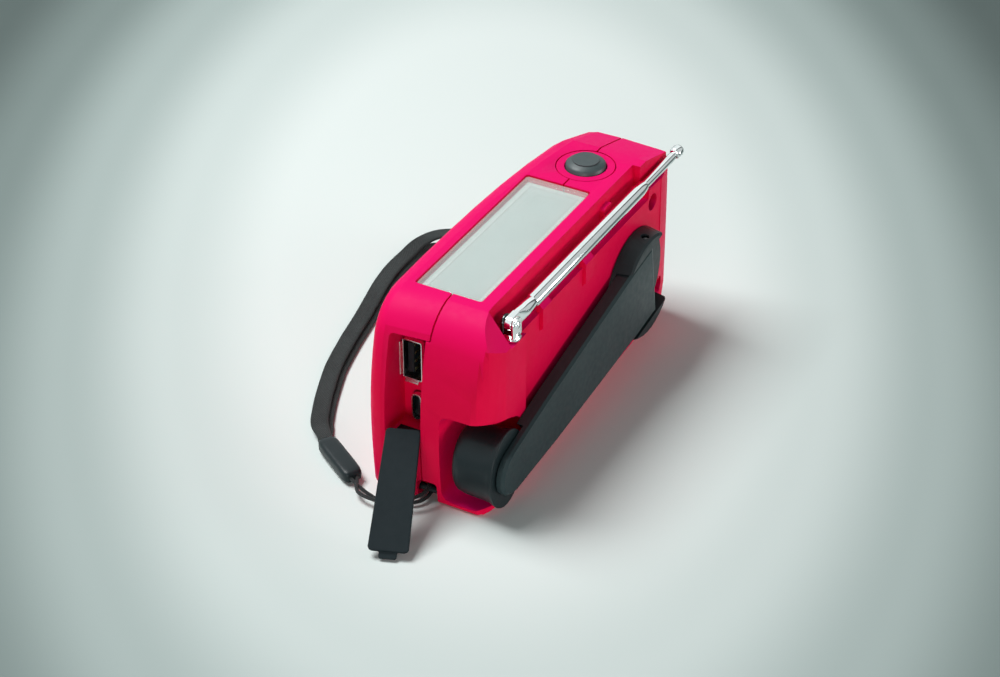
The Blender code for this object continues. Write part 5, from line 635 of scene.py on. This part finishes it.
lip("usb_lip_side", (shell_high.x, lip_side, 0.0), (shell_high.x + LIP_REACH, lip_side - LIP_SPREAD, 0.0),
    ((0.0, 0.0, shell_low.z + LIP_SHORT), (0.0, 0.0, shell_high.z - LIP_SHORT)), (0.0, -LIP_THICKNESS, 0.0))
lip("usb_lip_foot", (shell_high.x, 0.0, lip_foot), (shell_high.x + LIP_REACH, 0.0, lip_foot - LIP_SPREAD),
    ((0.0, shell_low.y + LIP_SHORT, 0.0), (0.0, shell_high.y - LIP_SHORT, 0.0)), (0.0, 0.0, -LIP_THICKNESS))

# ---------------------------------------------------------------------------------------------
# Flap of the sockets: a soft rubber plate moulded in one with the thin strap that holds it in the
# casing. It hangs open, and closes over both sockets.
FLAP_FINISH = finish("flap rubber", (0.006, 0.012, 0.015), (0.008, 0.015, 0.018), 0.62, grain=0.000010,
                     shine=0.18)
FLAP_ROUNDING = 0.0004
ROOT_THICKNESS = 0.0006
ROOT_ROUNDING = 0.0001
show("flap", dressed("port_flap"), FLAP_FINISH, "port_flap", ["port_flap"],
     rounding=FLAP_ROUNDING, segments=3)
root_low, root_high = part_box("flap_root")
root = plate("flap_strap", tuple(root_low), (root_high.x, root_high.y, root_low.z + ROOT_THICKNESS),
             FLAP_FINISH, ROOT_ROUNDING)
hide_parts("flap_root")

# ---------------------------------------------------------------------------------------------
# Antenna: chromed brass tubes that slide in each other. The outer tube is pressed flat at its foot
# into a tongue, which a rivet holds between the two ears of a post. The post swivels in the casing.
CHROME_FINISH = finish("chrome plating", (0.84, 0.88, 0.88), (0.90, 0.93, 0.93), 0.10, metal=1.0, patch=300.0,
                       rough_spread=0.03)
# The same chrome painted dark: painted shade for the front ear and the core between the ears.
CHROME_PAINTED_SHADE_FINISH = finish("chrome painted shade", (0.050, 0.058, 0.060), (0.085, 0.095, 0.098), 0.16, metal=1.0,
                            patch=300.0, rough_spread=0.04)
ANTENNA_X = 0.0414
ANTENNA_Y = 0.0173
ANTENNA_HEIGHT = 0.0549


def lathe(name, profile, axis, centre, steps=56):
    """A turned form: stations of radius and place, closed at both ends where the radius is nought."""
    bm = bmesh.new()
    rows = []
    for radius, station in profile:
        row = []
        for k in range(steps if radius else 1):
            turn = 2 * pi * k / steps
            spot = (radius * cos(turn), radius * sin(turn))
            if axis == "X":
                point = Vector((station, spot[0], spot[1]))
            elif axis == "Y":
                point = Vector((spot[0], station, spot[1]))
            else:
                point = Vector((spot[0], spot[1], station))
            row.append(bm.verts.new(point + Vector(centre)))
        rows.append(row)
    for first, second in zip(rows, rows[1:]):
        for k in range(steps):
            n = (k + 1) % steps
            corners = [first[k % len(first)], first[n % len(first)], second[n % len(second)],
                       second[k % len(second)]]
            kept = []
            for corner in corners:
                if corner not in kept:
                    kept.append(corner)
            if len(kept) > 2:
                bm.faces.new(kept)
    return closed(name, bm)


# Tubes: each is rolled in at its mouth to hold the next one, and the rod has a turned cap. The
# profiles run from the foot outwards, with each mouth's and cap's curve set off from its own end.
TUBE_RADIUS = 0.00205
TUBE_START_X = 0.0340
TUBE_END_X = -0.0392
TUBE_GROOVE = (0.0302, 0.0300, 0.0297, 0.0295)
TUBE_GROOVE_DEPTH = 0.00012
MIDDLE_RADIUS = 0.00135
MIDDLE_START_X = 0.0215
MIDDLE_END_X = -0.0592
ROD_RADIUS = 0.00065
ROD_START_X = 0.0100
ROD_CHAMFER = 0.0002
TIP_RADIUS = 0.00183
TIP_END_X = -0.0630
SLIDING_GAP = 0.00004
groove_radius = TUBE_RADIUS - TUBE_GROOVE_DEPTH
tube_profile = [(TUBE_RADIUS, TUBE_START_X), (TUBE_RADIUS, TUBE_GROOVE[0]), (groove_radius, TUBE_GROOVE[1]),
                (groove_radius, TUBE_GROOVE[2]), (TUBE_RADIUS, TUBE_GROOVE[3]),
                (TUBE_RADIUS, TUBE_END_X + 0.0034), (TUBE_RADIUS - 0.00015, TUBE_END_X + 0.0020),
                (MIDDLE_RADIUS + 0.00035, TUBE_END_X + 0.0004), (MIDDLE_RADIUS + 0.00022, TUBE_END_X),
                (MIDDLE_RADIUS + SLIDING_GAP, TUBE_END_X + 0.0001),
                (MIDDLE_RADIUS + SLIDING_GAP, TUBE_END_X + 0.0030)]
middle_profile = [(MIDDLE_RADIUS, MIDDLE_START_X), (MIDDLE_RADIUS, MIDDLE_END_X + 0.0016),
                  (MIDDLE_RADIUS - 0.00012, MIDDLE_END_X + 0.0008), (ROD_RADIUS + 0.00030, MIDDLE_END_X),
                  (ROD_RADIUS + SLIDING_GAP, MIDDLE_END_X + 0.0001),
                  (ROD_RADIUS + SLIDING_GAP, MIDDLE_END_X + 0.0020)]
rod_profile = [(0.0, ROD_START_X), (ROD_RADIUS, ROD_START_X - ROD_CHAMFER),
               (ROD_RADIUS, MIDDLE_END_X - 0.0002),
               (TIP_RADIUS * 0.72, MIDDLE_END_X - 0.0003), (TIP_RADIUS * 0.94, MIDDLE_END_X - 0.0007),
               (TIP_RADIUS, MIDDLE_END_X - 0.0014), (TIP_RADIUS, TIP_END_X + 0.0009),
               (TIP_RADIUS * 0.90, TIP_END_X + 0.0003), (TIP_RADIUS * 0.62, TIP_END_X), (0.0, TIP_END_X)]
for node, profile in (("antenna_tube", tube_profile), ("antenna_middle", middle_profile),
                      ("antenna_rod", rod_profile)):
    show(node + "_chrome", lathe(node, profile, "X", (0.0, ANTENNA_Y, ANTENNA_HEIGHT)), CHROME_FINISH,
         node, [node], smooth=50)

# Foot of the outer tube: the round neck goes over into the flat tongue
LUG_RADIUS = 0.00235
TONGUE_HALF = 0.00104
TONGUE_LAP = 0.0003
TONGUE_EDGE = 0.0002
TONGUE_STEPS = 20
NECK_START_X = 0.0338
NECK_END_X = 0.0387
NECK_STEPS = 14
NECK_SIDES = 48
NECK_SQUARENESS = 0.65
LUG_SHARE = 0.94
lug_half = LUG_RADIUS * LUG_SHARE
neck_rings = []
for step in range(NECK_STEPS + 1):
    share = step / NECK_STEPS
    flatness = eased(share)
    half_across = TUBE_RADIUS + (TONGUE_HALF - TUBE_RADIUS) * flatness
    half_high = TUBE_RADIUS + (lug_half - TUBE_RADIUS) * flatness
    ring = []
    for k in range(NECK_SIDES):
        across, height = squared(2 * pi * k / NECK_SIDES, 1.0 - NECK_SQUARENESS * flatness)
        ring.append(Vector((NECK_START_X + (NECK_END_X - NECK_START_X) * share,
                            ANTENNA_Y + across * half_across, ANTENNA_HEIGHT + height * half_high)))
    neck_rings.append(ring)
show("antenna_neck", swept("antenna_neck", neck_rings), CHROME_FINISH, "antenna_tube",
     smooth=40)
tongue_outline = [(ANTENNA_X + lug_half * sin(pi * k / TONGUE_STEPS),
                   ANTENNA_HEIGHT + lug_half * cos(pi * k / TONGUE_STEPS)) for k in range(TONGUE_STEPS + 1)]
tongue_outline += [(NECK_END_X - TONGUE_LAP, ANTENNA_HEIGHT - lug_half),
                   (NECK_END_X - TONGUE_LAP, ANTENNA_HEIGHT + lug_half)]
show("antenna_tongue", slab("antenna_tongue", tongue_outline, ANTENNA_Y - TONGUE_HALF,
                            ANTENNA_Y + TONGUE_HALF),
     CHROME_FINISH, "antenna_tube", rounding=TONGUE_EDGE, segments=3)

# Post: two ears over a hollowed core, on a turned foot
EAR_INNER = 0.00108
EAR_OUTER = 0.00218
EAR_FOOT = 0.0510
EAR_STEPS = 24
EAR_ROUNDING = 0.00045
CORE_INSET = 0.0002
CORE_LAP = 0.0001
CORE_STEPS = 16
CORE_SHARES = (0.98, 1.02)
ear_outline = [(ANTENNA_X - LUG_RADIUS * cos(pi * k / EAR_STEPS),
                ANTENNA_HEIGHT + LUG_RADIUS * sin(pi * k / EAR_STEPS)) for k in range(EAR_STEPS + 1)]
ear_outline += [(ANTENNA_X + LUG_RADIUS, EAR_FOOT), (ANTENNA_X - LUG_RADIUS, EAR_FOOT)]
# The front ear and the core take the chrome with painted shade; the rear ear takes the plain chrome.
for side, name, plating in ((-1, "antenna_ear_front", CHROME_PAINTED_SHADE_FINISH),
                            (1, "antenna_ear_rear", CHROME_FINISH)):
    low, high = sorted((ANTENNA_Y + side * EAR_INNER, ANTENNA_Y + side * EAR_OUTER))
    show(name, slab(name, ear_outline, low, high), plating, "antenna_base",
         rounding=EAR_ROUNDING, segments=5)
core_half = LUG_RADIUS - CORE_INSET
core_outline = [(ANTENNA_X - core_half, EAR_FOOT), (ANTENNA_X + core_half, EAR_FOOT)]
core_outline += [(ANTENNA_X + core_half * cos(pi * k / CORE_STEPS) * CORE_SHARES[0],
                  ANTENNA_HEIGHT - LUG_RADIUS * CORE_SHARES[1] * sin(pi * k / CORE_STEPS))
                 for k in range(2, CORE_STEPS - 1)]
show("antenna_core", slab("antenna_core", core_outline, ANTENNA_Y - EAR_INNER - CORE_LAP,
                          ANTENNA_Y + EAR_INNER + CORE_LAP),
     CHROME_PAINTED_SHADE_FINISH, "antenna_base")
POST_RADIUS = 0.0016
FOOT_RADIUS = 0.00285
FOOT_LOW = 0.0503
FOOT_TOP = ((0.00245, FOOT_LOW + 0.0011), (0.00240, 0.0520), (0.0022, 0.0523), (0.0, 0.0524))
post_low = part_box("antenna_post")[0]
post_profile = [(0.0, post_low.z), (POST_RADIUS, post_low.z), (POST_RADIUS, FOOT_LOW),
                (FOOT_RADIUS - 0.0001, FOOT_LOW), (FOOT_RADIUS, FOOT_LOW + 0.0001),
                (FOOT_RADIUS, FOOT_LOW + 0.0006), (FOOT_RADIUS - 0.0002, FOOT_LOW + 0.0009), *FOOT_TOP]
show("antenna_post_chrome", lathe("antenna_post", post_profile, "Z", (ANTENNA_X, ANTENNA_Y, 0.0)),
     CHROME_FINISH, "antenna_base", ["antenna_post"], smooth=50)

# Rivet: rolled over at both ends, with a small dimple in each head
RIVET_END = 0.00250
RIVET_RADIUS = 0.00105
RIVET_WAIST = 0.0006
RIVET_STEP = 0.0001
RIVET_SIDES = 40
RIVET_HEAD = ((0.0004, 0.00002), (0.0005, 0.00012), (0.00062, 0.00012), (0.00080, 0.00004),
              (RIVET_RADIUS, 0.00018))
rivet_half = [(radius, RIVET_END - drop) for radius, drop in RIVET_HEAD]
rivet_half += [(RIVET_RADIUS, EAR_OUTER - RIVET_STEP), (RIVET_WAIST, EAR_OUTER - RIVET_STEP * 2)]
rivet_profile = [(0.0, -RIVET_END), *[(radius, -reach) for radius, reach in rivet_half],
                 *reversed(rivet_half), (0.0, RIVET_END)]
show("antenna_rivet", lathe("antenna_rivet", rivet_profile, "Y", (ANTENNA_X, ANTENNA_Y, ANTENNA_HEIGHT),
                            RIVET_SIDES),
     CHROME_FINISH, "antenna_base", ["antenna_pin"], smooth=45)

# ---------------------------------------------------------------------------------------------
# Tuning dial: a flat plate behind the tuning knob, moulded in grey, with fine white ticks that
# stand up a little and a longer one at each fifth place.
TICK_FINISH = finish("dial ticks", (0.62, 0.66, 0.66), (0.70, 0.74, 0.74), 0.5, patch=200.0)
TICKS = 31
TICK_HALF_WIDTH = 0.00018
TICK_RELIEF = 0.00005
TICK_ARC = radians(300)
TICK_OUTER = 0.93
TICK_INNER = 0.85
LONG_TICK_INNER = 0.78
LONG_TICK_EVERY = 5
dial_low, dial_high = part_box("dial_plate")
dial_middle = (dial_low + dial_high) / 2
dial_radius = (dial_high.x - dial_low.x) / 2
dial_front = Vector((dial_middle.x, dial_low.y - TICK_RELIEF, dial_middle.z))
tick_mesh = bmesh.new()
for number in range(TICKS):
    turn = TICK_ARC * (number / (TICKS - 1) - 0.5) + pi / 2
    out = Vector((cos(turn), 0.0, sin(turn)))
    side = Vector((-sin(turn), 0.0, cos(turn))) * TICK_HALF_WIDTH
    inner = dial_radius * (LONG_TICK_INNER if number % LONG_TICK_EVERY == 0 else TICK_INNER)
    outer = dial_radius * TICK_OUTER
    corners = [tick_mesh.verts.new(dial_front + out * reach + shift)
               for reach, shift in ((inner, -side), (outer, -side), (outer, side), (inner, side))]
    lifted = bmesh.ops.extrude_face_region(tick_mesh, geom=[tick_mesh.faces.new(corners)])
    for vert in lifted["geom"]:
        if isinstance(vert, bmesh.types.BMVert):
            vert.co.y += TICK_RELIEF * 2
show("dial_ticks", closed("dial_ticks", tick_mesh), TICK_FINISH, "case", smooth=30)

# ---------------------------------------------------------------------------------------------
# Everything else keeps its solid: screws, pins and axles of plain steel, the torch's reflector and
# lamps, the loudspeaker, the boards, the nylon gears and the battery cell, each in its own finish.
STEEL_FINISH = finish("plain steel", (0.42, 0.44, 0.45), (0.56, 0.58, 0.58), 0.34, metal=1.0, patch=220.0)
BOARD_FINISH = finish("board lacquer", (0.015, 0.110, 0.045), (0.022, 0.150, 0.060), 0.38, patch=200.0)
NYLON_FINISH = finish("gear nylon", (0.74, 0.72, 0.64), (0.80, 0.78, 0.71), 0.50, patch=160.0)
LED_FINISH = finish("led resin", (0.80, 0.80, 0.70), (0.90, 0.90, 0.82), 0.20)
RED_LED_FINISH = finish("red led resin", (0.55, 0.02, 0.015), (0.65, 0.03, 0.02), 0.22)
CONE_FINISH = finish("cone paper", (0.020, 0.020, 0.020), (0.035, 0.035, 0.034), 0.85, grain=0.00002,
                     grain_scale=3000.0)
DIAL_FINISH = finish("dial", (0.050, 0.056, 0.060), (0.060, 0.066, 0.070), 0.40)
WRAP_FINISH = finish("battery wrap", (0.040, 0.120, 0.330), (0.050, 0.140, 0.370), 0.42)
KINDS = {"plain_steel": STEEL_FINISH, "board_green": BOARD_FINISH, "gear_nylon": NYLON_FINISH,
         "led_white": LED_FINISH, "led_red": RED_LED_FINISH, "cone_paper": CONE_FINISH,
         "dial_grey": DIAL_FINISH, "battery_wrap": WRAP_FINISH, "reflector_chrome": CHROME_FINISH,
         "black_plastic": BLACK_FINISH,
         "casing_pink": CASING_FINISH, "clear_cover": COVER_FINISH, "cell_silver": CELL_FINISH,
         "button_rubber": RUBBER_FINISH, "crank_grey": ARM_FINISH, "antenna_chrome": CHROME_FINISH,
         "socket_steel": SOCKET_FINISH, "flap_rubber": FLAP_FINISH, "strap_fabric": WEBBING_FINISH}
for part in frame["record"]["subparts"]:
    node = frame["nodes"][part["node"]]
    node.data.materials.clear()
    node.data.materials.append(KINDS[part["material_slot"]])

# ---------------------------------------------------------------------------------------------
# Floor: a seamless sheet of pale card with a pool of light painted on it. Its colour falls off from a bright
# oval middle to a dull grey-green painted shade, and the oval lies along the line of sight.
FLOOR_REACH = 4.0
FLOOR_LIGHT_POOL_MIDDLE = (-0.064, -0.044, 0.0)
FLOOR_LIGHT_POOL_TURN = (0.0, 0.0, CAMERA_AZIMUTH)
FLOOR_LIGHT_POOL_SPREAD = (0.196, 0.400, 1.0)
FLOOR_PAINTED_LIGHT_FADE = ((0.0, 1.0), (0.35, 0.98), (0.52, 0.80), (0.68, 0.54), (0.84, 0.30), (1.0, 0.16))
FLOOR_PAINTED_SHADE_TONE = (0.86, 1.06, 1.04)
floor_mesh = bpy.data.meshes.new("floor")
floor_mesh.from_pydata([(-FLOOR_REACH, -FLOOR_REACH, 0.0), (FLOOR_REACH, -FLOOR_REACH, 0.0),
                        (FLOOR_REACH, FLOOR_REACH, 0.0), (-FLOOR_REACH, FLOOR_REACH, 0.0)],
                       [], [(0, 1, 2, 3)])
floor = bpy.data.objects.new("floor", floor_mesh)
bpy.context.scene.collection.objects.link(floor)
FLOOR_FINISH = finish("floor", (0.80, 0.875, 0.855), (0.81, 0.885, 0.865), 0.80, patch=3.0, shine=0.1)
floor_tree = FLOOR_FINISH.node_tree
floor_light_pool_fit = floor_tree.nodes.new("ShaderNodeMapping")
floor_light_pool_fit.vector_type = "TEXTURE"
floor_light_pool_fit.inputs["Location"].default_value = FLOOR_LIGHT_POOL_MIDDLE
floor_light_pool_fit.inputs["Rotation"].default_value = FLOOR_LIGHT_POOL_TURN
floor_light_pool_fit.inputs["Scale"].default_value = FLOOR_LIGHT_POOL_SPREAD
floor_place = floor_tree.nodes.new("ShaderNodeTexCoord").outputs["Object"]
floor_tree.links.new(floor_place, floor_light_pool_fit.inputs["Vector"])
floor_light_pool_reach = floor_tree.nodes.new("ShaderNodeVectorMath")
floor_light_pool_reach.operation = "LENGTH"
floor_tree.links.new(floor_light_pool_fit.outputs["Vector"], floor_light_pool_reach.inputs[0])
# Painted light: the floor is bright inside the oval pool and falls to a greener painted shade outside it.
floor_painted_light_stops = [(position, [shade * (1 + (tone - 1) * (1 - shade)) for tone in FLOOR_PAINTED_SHADE_TONE])
               for position, shade in FLOOR_PAINTED_LIGHT_FADE]
floor_painted_light = graded(floor_tree, floor_light_pool_reach.outputs["Value"], floor_painted_light_stops, "EASE")
floor_painted_light_tone = blend(floor_tree, floor_tree.nodes["tone"].outputs["Color"], floor_painted_light, way="MULTIPLY")
floor_tree.links.new(floor_painted_light_tone, floor_tree.nodes["Principled BSDF"].inputs["Base Color"])
floor_mesh.materials.append(FLOOR_FINISH)

# ---------------------------------------------------------------------------------------------
# Light: a broad softbox above and in front of the radio, and two weaker ones, behind it and
# beyond the end with the sockets. The room's walls are pale with a dark band between them, at full
# level in polished pieces and dim on all others.
LIGHT_AIM = (0.0, 0.0, 0.04)
SOFTBOXES = (("main light", (0.06, -0.60, 1.14), (0.0, 0.0, 0.02), (0.60, 0.60), 16.0),
             ("back light", (-0.25, 1.05, 0.15), LIGHT_AIM, (0.70, 0.24), 5.0),
             ("near light", (1.00, 0.30, 0.20), LIGHT_AIM, (0.50, 0.30), 3.2))
WORLD_WALLS = ((0.0, 0.90), (0.56, 1.00), (0.59, 0.04), (0.63, 0.04), (0.68, 0.62), (1.0, 0.55))
WORLD_RED = 0.95
WORLD_LIGHT = 0.15
for name, place, aim, size, power in SOFTBOXES:
    light = bpy.data.lights.new(name, "AREA")
    light.shape = "RECTANGLE"
    light.size, light.size_y = size
    light.energy = power
    lamp = bpy.data.objects.new(name, light)
    lamp.location = place
    lamp.rotation_mode = "QUATERNION"
    lamp.rotation_quaternion = (Vector(aim) - Vector(place)).to_track_quat("-Z", "Y")
    bpy.context.scene.collection.objects.link(lamp)
world = bpy.data.worlds.new("studio")
bpy.context.scene.world = world
world.use_nodes = True
world_tree = world.node_tree
background = world_tree.nodes["Background"]
world_facing = split(world_tree, world_tree.nodes.new("ShaderNodeTexCoord").outputs["Generated"])
world_wall = graded(world_tree, ranged(world_tree, world_facing["Y"], -1.0, 1.0),
                    [(position, (shade * WORLD_RED, shade, shade)) for position, shade in WORLD_WALLS])
world_tree.links.new(world_wall, background.inputs["Color"])
world_ray = world_tree.nodes.new("ShaderNodeLightPath").outputs
world_seen = reckon(world_tree, "MAXIMUM", world_ray["Is Glossy Ray"], world_ray["Is Transmission Ray"])
world_tree.links.new(reckon(world_tree, "MAXIMUM", world_seen, WORLD_LIGHT), background.inputs["Strength"])
bpy.context.scene.view_settings.view_transform = "Standard"
